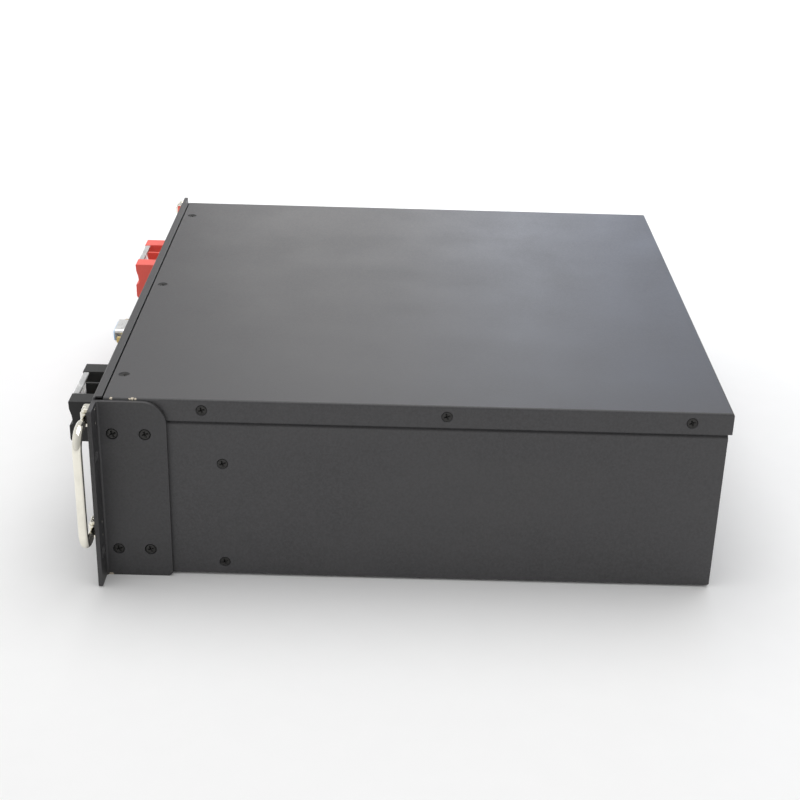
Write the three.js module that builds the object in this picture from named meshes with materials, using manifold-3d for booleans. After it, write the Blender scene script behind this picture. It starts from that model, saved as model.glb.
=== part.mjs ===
// A 3U, 19-inch rack battery pack: a folded steel case with sixteen prismatic cells, a battery
// management board, two rack ears with folding handles and two covered power terminals.
// Millimetres, +Z up, the front panel faces -Y. Until the last lines every part is placed in the
// case's own frame: x = 0 on the case's middle, y = 0 on the cover's front edge, z = 0 under the case.
import * as THREE from 'three';
import { mergeVertices } from 'three/addons/utils/BufferGeometryUtils.js';
import Module from 'manifold-3d';

const wasm = await Module();
wasm.setup();

// ---- driving dimensions ----
const CASE_WIDTH = 442;
const CASE_DEPTH = 420;
const CASE_HEIGHT = 133;
const SHEET = 1.5;             // case sheet steel
const GAP = 0.3;               // clearance left between touching pieces
const SIDE = CASE_WIDTH / 2;   // outer face of the cover's side flange
const COVER_FLANGE = 15.6;     // how far the cover reaches down the sides and the rear
const JOGGLE = SHEET + GAP;    // step that lets the tray's side pass under the cover's flange
const TRAY_REAR = CASE_DEPTH - 2.5;
const TRAY_TOP = CASE_HEIGHT - SHEET - GAP;
const TRAY_INSIDE = SIDE - JOGGLE - SHEET;   // inner face of the tray's side, under the flange

const PANEL_FRONT = -7.3;      // front face of the panel, flush with the rack ears
const PANEL_BACK = PANEL_FRONT + SHEET;
const PANEL_LIP = -1;          // rear edge of the panel's folded lips

const EAR = {
  thickness: 3, low: -1, high: 131.5, reach: 482.6 / 2, depth: 49, corner: 16, chamfer: 2.5,
};
const EAR_INSIDE = SIDE + GAP;
const EAR_OUTSIDE = EAR_INSIDE + EAR.thickness;
const RACK_SLOT = { x: 465.1 / 2, z: [21.85, 94.85], width: 7, length: 10.5 };

const SCREW = { head: 3.85, shank: 2, hole: 2.3, countersink: 4.15, depth: 1.35, sunk: 0.1 };
const BOARD_HOLE = 1.8;        // radius of the holes that the jackscrews pass through
const EAR_SCREW_Y = [5, 27];
const EAR_SCREW_Z = [20, 108];
const FLANGE_SCREW_Y = [65, 228.7, 392.4];
const FLANGE_SCREW_Z = 125.3;
const TOP_SCREW_X = [-181, 0, 181];
const TOP_SCREW_Y = 7.3;
const PARTITION_SCREW_Y = 78;
const PARTITION_SCREW_Z = [9.6, 86];

const HANDLE = {
  pivotX: 228.6, pivotY: -10.9, lowZ: 38.5, highZ: 122.7,
  reach: 31.3, rod: 3.2, bend: 12, trunnion: 1.1, trunnionReach: 5,
};
const FOOT = {
  halfHeight: 6.3, slot: 3.9, front: -12.8, inner: 222.6, outer: 232.2, web: 2.5, chamfer: 1.3,
  rivet: 0.9, rivetZ: 5.1,
};

const BLOCK = {
  centre: 144.5, length: 68, depth: 26, bottom: 79.5, height: 30.5,
  endWall: 14.6, partition: 2, backWall: 6, collar: 6.5, bore: 4.4,
};
const BLOCK_BACK = PANEL_FRONT - GAP;
const BLOCK_FRONT = BLOCK_BACK - BLOCK.depth;
const BAY_WIDTH = (BLOCK.length - 2 * BLOCK.endWall - BLOCK.partition) / 2;
const BAY_OFFSET = (BAY_WIDTH + BLOCK.partition) / 2;
const BOLT_Z = BLOCK.bottom + BLOCK.height / 2;
const COLLAR_FRONT = BLOCK_BACK - 1;
const FLAP = {
  thickness: 1.6, hingeY: -31.4, hingeZ: 107.4, ahead: 1.8,
  pin: 1.3, pinReach: 2.5, lip: 4.5, low: 82,
};
const BOLT = { head: 7, headHeight: 5.5, washer: 8, washerHeight: 1.5, shank: 4, shankLength: 18 };

const PORT = {
  x: 69, z: 120, width: 25, height: 10.4, front: -17.4, insert: -18.2, wall: 0.9,
  flange: 1.2, screwSpacing: 36, screwFront: -14.5, screw: 2.6,
};
const LIGHT_BAR = { x: -30, z: 112, width: 64, height: 6 };
const POWER = { x: -12, z: 66, bezel: 11, bore: 7, button: 6.6, proud: 3.2 };
const RESET = { x: 20, z: 66, radius: 2.6, hole: 3, proud: 1.2 };

const CELL = { width: 50, depth: 160, height: 115, terminal: 8, terminalHeight: 3, inset: 20 };
const CELL_COLUMNS = 8;
const CELL_ROWS = 2;
const CELL_PITCH_X = CELL.width + GAP;
const CELL_PITCH_Y = CELL.depth + 0.5;
const CELL_FRONT = 90;
const CELL_FLOOR = SHEET + GAP;
const CELL_TOP = CELL_FLOOR + CELL.height;
const LINK_LEVEL = CELL_TOP + CELL.terminalHeight + GAP;

const FRONT_BOARD = { left: -72, right: 92, low: 48, high: 126, front: -2.6, thickness: 1.6 };
const PARTITION = { y: 73, height: 110, flange: 11 };
const BMS = { back: 62, thickness: 2, left: -70, right: 195, low: 10, high: 108 };
const TRANSISTORS = { count: 6, left: -20, pitch: 22, width: 14, depth: 4, low: 20, high: 36 };
const CAPACITORS = { count: 4, x: 10, pitch: 16, radius: 6, length: 14, z: 56 };
const CONNECTORS = { left: -64, right: -34, depth: 8, height: 12, low: [60, 84] };
const PROCESSOR = { left: -60, right: -46, depth: 2.5, low: 30, high: 44 };
const SINK = { inset: 20, low: 14, high: 104, plate: 2.7, fins: 9, finPitch: 10.6, fin: 2 };
const BAR = 3;                 // thickness of the copper busbars
const BAR_HALF = 10;           // half their width
const LINK_HALF = 9;           // half the width of the links between cells

// ---- materials ----
const finish = (name, color, roughness, metalness) =>
  new THREE.MeshStandardMaterial({ name, color, roughness, metalness });
const POWDER_COAT = finish('powder_coat', 0x3a3b3e, 0.55, 0.2);
const BLACK_STEEL = finish('black_steel', 0x1b1b1d, 0.4, 0.8);
const ZINC_STEEL = finish('zinc_steel', 0xb4b8bc, 0.35, 0.9);
const CHROME = finish('chrome', 0xdcdcda, 0.08, 1);
const BLACK_PLASTIC = finish('black_plastic', 0x202022, 0.5, 0);
const RED_PLASTIC = finish('red_plastic', 0xc8372f, 0.45, 0);
const BLUE_PLASTIC = finish('blue_plastic', 0x3f9fd6, 0.4, 0);
const CLEAR_PLASTIC = finish('clear_plastic', 0xe8eef0, 0.1, 0);
const BRASS = finish('brass', 0xb59a4a, 0.3, 0.9);
const COPPER = finish('copper', 0xb87345, 0.35, 0.9);
const ALUMINIUM = finish('aluminium', 0xb9bcc0, 0.4, 0.85);
const CELL_FILM = finish('cell_film', 0x2f6fb3, 0.45, 0);
const CIRCUIT_BOARD = finish('circuit_board', 0x1f5b3a, 0.6, 0);

// ---- solids ----
function toManifold(geometry) {
  const bare = geometry.clone();
  bare.deleteAttribute('normal');
  bare.deleteAttribute('uv');
  const merged = mergeVertices(bare, 1e-4);
  return new wasm.Manifold(new wasm.Mesh({
    numProp: 3,
    vertProperties: new Float32Array(merged.attributes.position.array),
    triVerts: new Uint32Array(merged.index.array),
  }));
}

function fromManifold(solid) {
  const { vertProperties, triVerts } = solid.getMesh();
  const geometry = new THREE.BufferGeometry();
  geometry.setAttribute('position', new THREE.BufferAttribute(vertProperties, 3));
  geometry.setIndex(new THREE.BufferAttribute(triVerts, 1));
  geometry.computeVertexNormals();
  return geometry;
}

const join = (...pieces) => fromManifold(pieces.map(toManifold).reduce((a, b) => a.add(b)));
const cut = (body, ...tools) =>
  fromManifold(tools.map(toManifold).reduce((rest, tool) => rest.subtract(tool), toManifold(body)));

function box(x0, x1, y0, y1, z0, z1) {
  const geometry = new THREE.BoxGeometry(x1 - x0, y1 - y0, z1 - z0);
  return geometry.translate((x0 + x1) / 2, (y0 + y1) / 2, (z0 + z1) / 2);
}

const polygon = (points) => new THREE.Shape(points.map(([u, v]) => new THREE.Vector2(u, v)));

// A flat outline in (x, z), (y, z) or (x, y), pulled along the third axis from one place to another.
function pulled(shape, depth, curveSegments) {
  return new THREE.ExtrudeGeometry(shape, { depth, bevelEnabled: false, curveSegments });
}

const extrudeY = (shape, from, to, curveSegments = 2) =>
  pulled(shape, to - from, curveSegments).rotateX(Math.PI / 2).translate(0, to, 0);

function extrudeX(shape, from, to, curveSegments = 2) {
  const yzToX = new THREE.Matrix4().makeBasis(
    new THREE.Vector3(0, 1, 0), new THREE.Vector3(0, 0, 1), new THREE.Vector3(1, 0, 0));
  return pulled(shape, to - from, curveSegments).applyMatrix4(yzToX).translate(from, 0, 0);
}

const extrudeZ = (shape, from, to, curveSegments = 2) =>
  pulled(shape, to - from, curveSegments).translate(0, 0, from);

// A cylinder or cone whose axis runs along +X, +Y or +Z from `start` for `length`.
function rod(axis, start, length, radius, endRadius = radius, sides = 12) {
  const geometry = new THREE.CylinderGeometry(endRadius, radius, length, sides);
  geometry.translate(0, length / 2, 0);
  if (axis === 'x') geometry.rotateZ(-Math.PI / 2);
  if (axis === 'z') geometry.rotateX(Math.PI / 2);
  return geometry.translate(...start);
}

function roundedRectangle(width, height, radius) {
  const [w, h] = [width / 2, height / 2];
  const shape = new THREE.Shape();
  shape.moveTo(w, h - radius);
  shape.absarc(w - radius, h - radius, radius, 0, Math.PI / 2, false);
  shape.absarc(radius - w, h - radius, radius, Math.PI / 2, Math.PI, false);
  shape.absarc(radius - w, radius - h, radius, Math.PI, Math.PI * 1.5, false);
  shape.absarc(w - radius, radius - h, radius, Math.PI * 1.5, Math.PI * 2, false);
  return shape;
}

// ---- the case is mirrored left and right ----
const SIDES = [['right', 1], ['left', -1]];
const pairs = (ys, zs) => ys.flatMap((y) => zs.map((z) => [y, z]));
const bothSides = (geometry) => SIDES.map(([, sign]) => mirrored(geometry, sign));

function mirrored(geometry, sign) {
  if (sign > 0) return geometry;
  const flipped = geometry.clone().applyMatrix4(new THREE.Matrix4().makeScale(-1, 1, 1));
  const index = flipped.index ?? new THREE.BufferAttribute(
    Uint32Array.from({ length: flipped.attributes.position.count }, (_, i) => i), 1);
  const order = Array.from(index.array);
  for (let i = 0; i < order.length; i += 3) {
    [order[i + 1], order[i + 2]] = [order[i + 2], order[i + 1]];
  }
  flipped.setIndex(order);
  flipped.computeVertexNormals();
  return flipped;
}

// ---- countersunk screws ----
// A screw whose head is flush with `face`, driven along -X; `reach` is how deep its tip goes.
function screwX(face, y, z, reach) {
  const tip = face - reach;
  const underHead = face - SCREW.depth;
  return join(
    rod('x', [tip, y, z], reach - SCREW.depth + 0.1, SCREW.shank, SCREW.shank, 8),
    rod('x', [underHead, y, z], SCREW.depth, SCREW.shank, SCREW.head, 12));
}

const holeX = (from, to, y, z) => rod('x', [from, y, z], to - from, SCREW.hole, SCREW.hole, 8);
const countersinkX = (face, y, z) =>
  rod('x', [face - SHEET, y, z], SHEET + 0.01, SCREW.hole, SCREW.countersink, 12);
// A round hole along +Y through the front panel, with any corner count.
const panelHole = (x, z, radius, sides = 12) =>
  rod('y', [x, PANEL_FRONT - 1, z], SHEET + 2, radius, radius, sides);

// Screws that share a threaded strip inside the case wall; the strip makes them one solid.
function stripOfScrews(face, places, stripFace, strip) {
  const screws = places.map(([y, z]) => screwX(face, y, z, face - stripFace + SHEET));
  const [y0, y1, z0, z1] = strip;
  return join(box(stripFace - SHEET, stripFace, y0, y1, z0, z1), ...screws);
}

// ---- case ----
// Where the four corners of the joggle lie: outside and inside, above and below the step.
const STEP_LOW = 114.8;
const STEP_HIGH = STEP_LOW + SHEET;
const STEP_INNER = 0.6;        // how far the step lies lower on the inner face

function chassisTray() {
  const outer = [
    [SIDE - JOGGLE, TRAY_TOP], [SIDE - JOGGLE, STEP_HIGH], [SIDE, STEP_LOW], [SIDE, 0]];
  const inner = [
    [SIDE - SHEET, SHEET], [SIDE - SHEET, STEP_LOW - STEP_INNER],
    [TRAY_INSIDE, STEP_HIGH - STEP_INNER], [TRAY_INSIDE, TRAY_TOP]];
  const opposite = (corners) => corners.map(([x, z]) => [-x, z]).reverse();
  const profile = polygon([...outer, ...opposite(outer), ...opposite(inner), ...inner]);
  const shell = extrudeY(profile, PANEL_LIP + GAP, TRAY_REAR);
  const across = TRAY_INSIDE + 1;
  const rearFront = TRAY_REAR - SHEET;
  const rearWall = box(-across, across, rearFront, TRAY_REAR, 1, TRAY_TOP);
  const lowRearWall = box(1 - SIDE, SIDE - 1, rearFront, TRAY_REAR, 1, STEP_LOW - STEP_INNER);
  const crossbar = box(-across, across, 1, 15, TRAY_TOP - SHEET, TRAY_TOP);
  const partitionHoles = pairs([PARTITION_SCREW_Y], PARTITION_SCREW_Z);
  const sideHoles = [
    ...pairs(EAR_SCREW_Y, EAR_SCREW_Z), ...partitionHoles, ...pairs(FLANGE_SCREW_Y, [FLANGE_SCREW_Z])];
  const tools = [
    ...sideHoles.flatMap(([y, z]) => bothSides(holeX(TRAY_INSIDE - 2, SIDE + 2, y, z))),
    ...partitionHoles.flatMap(([y, z]) => bothSides(countersinkX(SIDE, y, z))),
    ...TOP_SCREW_X.map((x) => rod('z', [x, TOP_SCREW_Y, TRAY_TOP - 3], 5, SCREW.hole, SCREW.hole, 8)),
  ];
  return cut(join(shell, rearWall, lowRearWall, crossbar), ...tools);
}

function topCover() {
  const low = CASE_HEIGHT - COVER_FLANGE;
  const profile = polygon([
    [SIDE, low], [SIDE, CASE_HEIGHT - 1], [SIDE - 1, CASE_HEIGHT],
    [1 - SIDE, CASE_HEIGHT], [-SIDE, CASE_HEIGHT - 1], [-SIDE, low],
    [SHEET - SIDE, low], [SHEET - SIDE, CASE_HEIGHT - SHEET],
    [SIDE - SHEET, CASE_HEIGHT - SHEET], [SIDE - SHEET, low]]);
  const folded = extrudeY(profile, 0, CASE_DEPTH);
  const rearFlange = box(
    0.5 - SIDE, SIDE - 0.5, CASE_DEPTH - SHEET, CASE_DEPTH, low, CASE_HEIGHT - 0.5);
  const countersinkTop = (x) => rod(
    'z', [x, TOP_SCREW_Y, CASE_HEIGHT - SHEET - 0.01], SHEET + 0.02, SCREW.hole, SCREW.countersink);
  const tools = [
    ...FLANGE_SCREW_Y.flatMap((y) => bothSides(countersinkX(SIDE, y, FLANGE_SCREW_Z))),
    ...TOP_SCREW_X.map(countersinkTop),
  ];
  return cut(join(folded, rearFlange), ...tools);
}

function frontPanel() {
  const plate = box(-SIDE, SIDE, PANEL_FRONT, PANEL_BACK, 0, CASE_HEIGHT);
  const topLip = box(2 - SIDE, SIDE - 2, PANEL_FRONT, PANEL_LIP, CASE_HEIGHT - SHEET, CASE_HEIGHT);
  const bottomLip = box(-SIDE, SIDE, PANEL_FRONT, PANEL_LIP, 0, SHEET);
  const sideLip = box(SIDE - SHEET, SIDE, PANEL_FRONT, PANEL_LIP, 0, CASE_HEIGHT - SHEET - 1);
  const tab = box(TRAY_INSIDE - GAP - SHEET, TRAY_INSIDE - GAP, PANEL_FRONT, 12, 8, 120);
  const window = (place, margin, radius) =>
    extrudeY(roundedRectangle(place.width + margin, place.height + margin, radius),
      PANEL_FRONT - 1, PANEL_BACK + 1).translate(place.x, 0, place.z);
  const boltHole = (side, bay) =>
    panelHole(side * BLOCK.centre + bay * BAY_OFFSET, BOLT_Z, BLOCK.collar + GAP);
  const tools = [
    window(PORT, 1, 0.8),
    window(LIGHT_BAR, 2 * GAP, 3),
    panelHole(POWER.x, POWER.z, POWER.bezel - 2 + GAP, 16),
    panelHole(RESET.x, RESET.z, RESET.hole),
    ...pairs([-1, 1], [-1, 1]).map(([side, bay]) => boltHole(side, bay)),
    ...[-1, 1].map((side) => panelHole(PORT.x + side * PORT.screwSpacing / 2, PORT.z, BOARD_HOLE, 8)),
    ...EAR_SCREW_Z.flatMap((z) => bothSides(holeX(TRAY_INSIDE - 4, TRAY_INSIDE + 1, EAR_SCREW_Y[0], z))),
  ];
  return cut(join(plate, topLip, bottomLip, ...bothSides(sideLip), ...bothSides(tab)), ...tools);
}

function earBracket() {
  const rear = PANEL_FRONT + EAR.depth;
  const side = new THREE.Shape();
  side.moveTo(PANEL_FRONT, EAR.low);
  side.lineTo(rear - EAR.chamfer, EAR.low);
  side.lineTo(rear, EAR.low + EAR.chamfer);
  side.lineTo(rear, EAR.high - EAR.corner);
  side.absarc(rear - EAR.corner, EAR.high - EAR.corner, EAR.corner, 0, Math.PI / 2, false);
  side.lineTo(PANEL_FRONT, EAR.high);
  const sidePlate = extrudeX(side, EAR_INSIDE, EAR_OUTSIDE, 4);
  const flange = box(
    EAR_INSIDE, EAR.reach, PANEL_FRONT, PANEL_FRONT + EAR.thickness, EAR.low, EAR.high);
  const slot = (z) => extrudeY(
    roundedRectangle(RACK_SLOT.length, RACK_SLOT.width, RACK_SLOT.width / 2 - 0.1),
    PANEL_FRONT - 1, PANEL_FRONT + EAR.thickness + 1, 4).translate(RACK_SLOT.x, 0, z);
  const rivetHole = (z) => rod(
    'y', [HANDLE.pivotX, PANEL_FRONT - 1, z], EAR.thickness + 2, FOOT.rivet + GAP, FOOT.rivet + GAP, 8);
  const tools = [
    ...RACK_SLOT.z.map(slot),
    ...pairs(EAR_SCREW_Y, EAR_SCREW_Z).flatMap(([y, z]) => [
      holeX(EAR_INSIDE - 1, EAR_OUTSIDE + 1, y, z), countersinkX(EAR_OUTSIDE, y, z)]),
    ...[HANDLE.lowZ, HANDLE.highZ].flatMap(rivetHeights).map(rivetHole),
  ];
  return cut(join(sidePlate, flange), ...tools);
}

// ---- folding handles ----
const rivetHeights = (z) => [z - FOOT.rivetZ, z + FOOT.rivetZ];

// A forked foot: two cheeks on a web, with a blind bore in each cheek for the bail's trunnions.
function handleFoot(z) {
  const { inner, outer, front, chamfer, halfHeight } = FOOT;
  const back = PANEL_FRONT - GAP;
  const outline = polygon([
    [inner, back], [inner, front + chamfer], [inner + chamfer, front],
    [outer - chamfer, front], [outer, front + chamfer], [outer, back]].reverse());
  const body = extrudeZ(outline, z - halfHeight, z + halfHeight);
  const rivets = rivetHeights(z).map((height) => rod(
    'y', [HANDLE.pivotX, back - 0.5, height], GAP + EAR.thickness + 0.4, FOOT.rivet, FOOT.rivet, 8));
  const slot = box(inner + FOOT.web, outer + 1, front - 1, back + 1, z - FOOT.slot, z + FOOT.slot);
  const boreReach = HANDLE.trunnionReach + GAP;
  const boreRadius = HANDLE.trunnion + GAP;
  const bore = rod(
    'z', [HANDLE.pivotX, HANDLE.pivotY, z - boreReach], 2 * boreReach, boreRadius, boreRadius, 8);
  return cut(join(body, ...rivets), slot, bore);
}

// The bail's centre line: out along one leg, round a bend, along the grip, and back.
class BailPath extends THREE.Curve {
  getPoint(t) {
    const { lowZ, highZ, reach, bend, pivotX, pivotY } = HANDLE;
    const leg = reach - bend;
    const arc = bend * Math.PI / 2;
    const grip = highZ - lowZ - 2 * bend;
    const half = leg + arc + grip / 2;
    const along = t * 2 * half;
    const back = along > half;
    const s = back ? 2 * half - along : along;
    let x = bend + leg;
    let z = bend + Math.max(0, s - leg - arc);
    if (s <= leg) {
      x = s;
      z = 0;
    } else if (s < leg + arc) {
      const angle = (s - leg) / bend;
      x = leg + bend * Math.sin(angle);
      z = bend - bend * Math.cos(angle);
    }
    return new THREE.Vector3(pivotX + x, pivotY, back ? highZ - z : lowZ + z);
  }
}

function handleBail() {
  const section = new THREE.Shape().absarc(0, 0, HANDLE.rod, 0, Math.PI * 2, false);
  const bar = new THREE.ExtrudeGeometry(
    section, { steps: 34, extrudePath: new BailPath(), curveSegments: 5 });
  const { pivotX, pivotY, trunnion, trunnionReach } = HANDLE;
  const trunnions = [HANDLE.lowZ, HANDLE.highZ].flatMap((z) => [
    rod('z', [pivotX, pivotY, z - trunnionReach], 2 * trunnionReach, trunnion, trunnion, 8),
    new THREE.SphereGeometry(HANDLE.rod, 10, 6).translate(pivotX, pivotY, z)]);
  return join(bar, ...trunnions);
}

// ---- power terminals ----
// Seen from the side the block has a lower lobe, a waist and an upper lobe.
const LOBE_TOP = 12.1;
const WAIST = { low: 13.8, high: 19.9, inset: 2.7, highInset: 1.9 };
const UPPER_LOBE = { low: 24.7, inset: 0.5 };

function terminalBlock() {
  const { depth, bottom, height } = BLOCK;
  const top = bottom + height;
  const endProfile = [
    [0, 0], [depth - 1, 0], [depth, 1.5], [depth, LOBE_TOP],
    [depth - WAIST.inset, WAIST.low], [depth - WAIST.highInset, WAIST.high],
    [depth - UPPER_LOBE.inset, UPPER_LOBE.low], [depth - 0.2, height], [0, height]];
  const outline = polygon(endProfile.map(([out, up]) => [BLOCK_BACK - out, bottom + up]).reverse());
  const body = extrudeX(outline, -BLOCK.length / 2, BLOCK.length / 2);
  const bayBack = BLOCK_BACK - BLOCK.backWall;
  const pinHalf = BAY_WIDTH + BLOCK.partition / 2 + 3;
  const pinBore = FLAP.pin + GAP;
  const collar = (bay) => rod(
    'y', [bay * BAY_OFFSET, COLLAR_FRONT, BOLT_Z], PANEL_BACK + GAP - COLLAR_FRONT,
    BLOCK.collar, BLOCK.collar);
  const bay = (side) => box(
    side * BAY_OFFSET - BAY_WIDTH / 2, side * BAY_OFFSET + BAY_WIDTH / 2,
    BLOCK_FRONT - 1, bayBack, bottom - 1, top + 1);
  const boltBore = (side) => rod(
    'y', [side * BAY_OFFSET, bayBack - 1, BOLT_Z], BLOCK.backWall + 6, BLOCK.bore, BLOCK.bore, 8);
  const tools = [
    ...[-1, 1].map(bay),
    box(-1.5, 1.5, BLOCK_FRONT - 1, FLAP.hingeY + 4, bottom - 1, top + 1),
    ...[-1, 1].map(boltBore),
    rod('x', [-pinHalf, FLAP.hingeY, FLAP.hingeZ], 2 * pinHalf, pinBore, pinBore, 10),
  ];
  return cut(join(body, ...[-1, 1].map(collar)), ...tools);
}

// One clear flap over both bays: a front plate, a lip on top and the pin that it swings on.
function terminalCover() {
  const half = BAY_WIDTH + BLOCK.partition / 2 - GAP;
  const front = FLAP.hingeY - FLAP.ahead;
  const lipLow = FLAP.hingeZ + 0.6;
  const pinHalf = half + FLAP.pinReach;
  const plate = box(-half, half, front, front + FLAP.thickness, FLAP.low, FLAP.hingeZ + 1);
  const lip = box(-half, half, front, front + FLAP.lip, lipLow, lipLow + FLAP.thickness);
  const pin = rod('x', [-pinHalf, FLAP.hingeY, FLAP.hingeZ], 2 * pinHalf, FLAP.pin, FLAP.pin, 8);
  return join(plate, lip, pin);
}

function terminalBolt() {
  const seat = BLOCK_BACK - BLOCK.backWall - GAP;
  const washerFront = seat - BOLT.washerHeight;
  return join(
    rod('y', [0, washerFront - BOLT.headHeight, BOLT_Z], BOLT.headHeight + 0.1, BOLT.head, BOLT.head, 6),
    rod('y', [0, washerFront, BOLT_Z], BOLT.washerHeight, BOLT.washer),
    rod('y', [0, seat - 1, BOLT_Z], BOLT.shankLength, BOLT.shank, BOLT.shank, 8));
}

// ---- front controls ----
const PORT_REAR = FRONT_BOARD.front - GAP;
const PORT_FLANGE_FRONT = PANEL_FRONT - GAP - PORT.flange;

function dShape(width, height) {
  const slant = height * 0.18;
  return polygon([
    [-width / 2, height / 2], [width / 2, height / 2],
    [width / 2 - slant, -height / 2], [slant - width / 2, -height / 2]].reverse());
}

function portShell() {
  const bore = 2 * PORT.wall;
  const outer = extrudeY(dShape(PORT.width, PORT.height), PORT.front, PORT_REAR);
  const inner = extrudeY(
    dShape(PORT.width - bore, PORT.height - bore), PORT.front - 1, PORT_REAR + 1);
  const flange = extrudeY(roundedRectangle(PORT.screwSpacing + 8, PORT.height + 2.4, 2),
    PORT_FLANGE_FRONT, PORT_FLANGE_FRONT + PORT.flange);
  const screwHoles = [-1, 1].map((side) => rod(
    'y', [side * PORT.screwSpacing / 2, PANEL_FRONT - 4, 0], 6, BOARD_HOLE, BOARD_HOLE, 8));
  return cut(join(outer, flange), inner, ...screwHoles).translate(PORT.x, 0, PORT.z);
}

function portInsert() {
  const margin = 2 * (PORT.wall + GAP);
  return extrudeY(dShape(PORT.width - margin, PORT.height - margin), PORT.insert, PORT_REAR)
    .translate(PORT.x, 0, PORT.z);
}

// A hexagonal standoff with a threaded bore at the front and a threaded tail at the rear.
function jackscrew() {
  const seat = PORT_FLANGE_FRONT - GAP;
  const head = rod('y', [0, PORT.screwFront, 0], seat - PORT.screwFront, PORT.screw, PORT.screw, 6);
  const tail = rod('y', [0, seat - 1, 0], 6, 1.5, 1.5, 8);
  const bore = rod('y', [0, PORT.screwFront - 0.7, 0], 5, 1.2, 1.2, 8);
  return cut(join(head, tail), bore);
}

function lightBar() {
  const { width, height, x, z } = LIGHT_BAR;
  const back = PANEL_BACK + 2;
  const lens = extrudeY(roundedRectangle(width, height, 2.8), PANEL_FRONT - 0.4, back);
  const flange = extrudeY(roundedRectangle(width + 5, height + 5, 3), PANEL_BACK + GAP, back + 0.5);
  return join(lens, flange).translate(x, 0, z);
}

function switchBezel() {
  const { bezel, bore, x, z } = POWER;
  const back = PANEL_FRONT - GAP;
  const solid = join(
    rod('y', [0, back - 2, 0], 2, bezel - 0.8, bezel, 20),
    rod('y', [0, back - 1, 0], 20, bezel - 2, bezel - 2, 16));
  return cut(solid, rod('y', [0, back - 4, 0], 16, bore, bore, 16)).translate(x, 0, z);
}

function powerButton() {
  const { button, proud, x, z } = POWER;
  const front = PANEL_FRONT - proud;
  const rim = rod('y', [0, front, 0], 0.6, button - 0.6, button, 16);
  const body = rod('y', [0, front + 0.6, 0], 8, button, button, 16);
  return join(rim, body).translate(x, 0, z);
}

const resetButton = () => rod('y', [RESET.x, PANEL_FRONT - RESET.proud, RESET.z], 4.2, RESET.radius);

// The small board behind the panel that the port, the light bar and both buttons belong to.
function frontBoard() {
  const { left, right, low, high, front, thickness } = FRONT_BOARD;
  const barrel = POWER.bezel - 1.5;
  const hole = (x, z, radius, sides) =>
    rod('y', [x, front - 3, z], thickness + 4, radius, radius, sides);
  const screwHoles = [-1, 1].map((side) =>
    hole(PORT.x + side * PORT.screwSpacing / 2, PORT.z, BOARD_HOLE, 8));
  return cut(box(left, right, front, front + thickness, low, high),
    hole(POWER.x, POWER.z, barrel, 16), ...screwHoles);
}

// ---- cells and what holds them ----
function cell() {
  const [x, y] = [CELL.width / 2, CELL.depth / 2];
  const terminal = (place) => rod(
    'z', [0, place, CELL_TOP - 1], CELL.terminalHeight + 1, CELL.terminal, CELL.terminal, 8);
  return join(box(-x, x, -y, y, CELL_FLOOR, CELL_TOP), ...[CELL.inset - y, y - CELL.inset].map(terminal));
}

const columnX = (column) => (CELL_COLUMNS / 2 - 0.5 - column) * CELL_PITCH_X;
const rowY = (row) => CELL_FRONT + CELL.depth / 2 + row * CELL_PITCH_Y;

// The carrier plate over the cells, with the fifteen series links moulded into it. The chain runs
// front to rear down one column and rear to front up the next, so it starts and ends at the front.
function linkCarrier() {
  const inset = CELL.depth / 2 - CELL.inset;
  const frontTerminal = rowY(0) - inset;
  const rearTerminal = rowY(1) + inset;
  const links = [];
  const link = (x0, x1, y0, y1) => links.push(box(
    x0 - LINK_HALF, x1 + LINK_HALF, y0 - LINK_HALF, y1 + LINK_HALF, LINK_LEVEL + 1, LINK_LEVEL + 3));
  for (let column = 0; column < CELL_COLUMNS; column += 1) {
    const x = columnX(column);
    link(x, x, rowY(0) + inset, rowY(1) - inset);
    if (column + 1 === CELL_COLUMNS) continue;
    const y = column % 2 === 0 ? rearTerminal : frontTerminal;
    link(columnX(column + 1), x, y, y);
  }
  const half = CELL_COLUMNS * CELL_PITCH_X / 2;
  const plate = box(
    -half, half, CELL_FRONT + 2, rowY(1) + CELL.depth / 2 - 2, LINK_LEVEL, LINK_LEVEL + 1.2);
  const notch = box(
    columnX(0) - 14, half + 1, CELL_FRONT, frontTerminal + 14, LINK_LEVEL - 1, LINK_LEVEL + 4);
  return cut(join(plate, ...links), ...bothSides(notch));
}

function endPlate() {
  const x = CELL_COLUMNS * CELL_PITCH_X / 2 + GAP;
  return box(x, x + 4, CELL_FRONT, rowY(1) + CELL.depth / 2, CELL_FLOOR, CELL_TOP - 6);
}

function partitionPlate() {
  const inside = TRAY_INSIDE - GAP;
  const floor = SHEET + GAP;
  const rear = PARTITION.y + PARTITION.flange;
  const plate = box(-inside, inside, PARTITION.y, PARTITION.y + SHEET, floor, PARTITION.height);
  const foot = box(4 - inside, inside - 4, PARTITION.y, rear, floor, floor + SHEET);
  const flange = box(inside - SHEET, inside, PARTITION.y, rear, floor, PARTITION.height - 10);
  const holes = PARTITION_SCREW_Z.flatMap((z) =>
    bothSides(holeX(inside - 3, inside + 1, PARTITION_SCREW_Y, z)));
  return cut(join(plate, foot, ...bothSides(flange)), ...holes);
}

// ---- battery management and busbars ----
const BMS_FRONT = BMS.back - BMS.thickness;
const count = (number) => Array.from({ length: number }, (_, i) => i);

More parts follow.
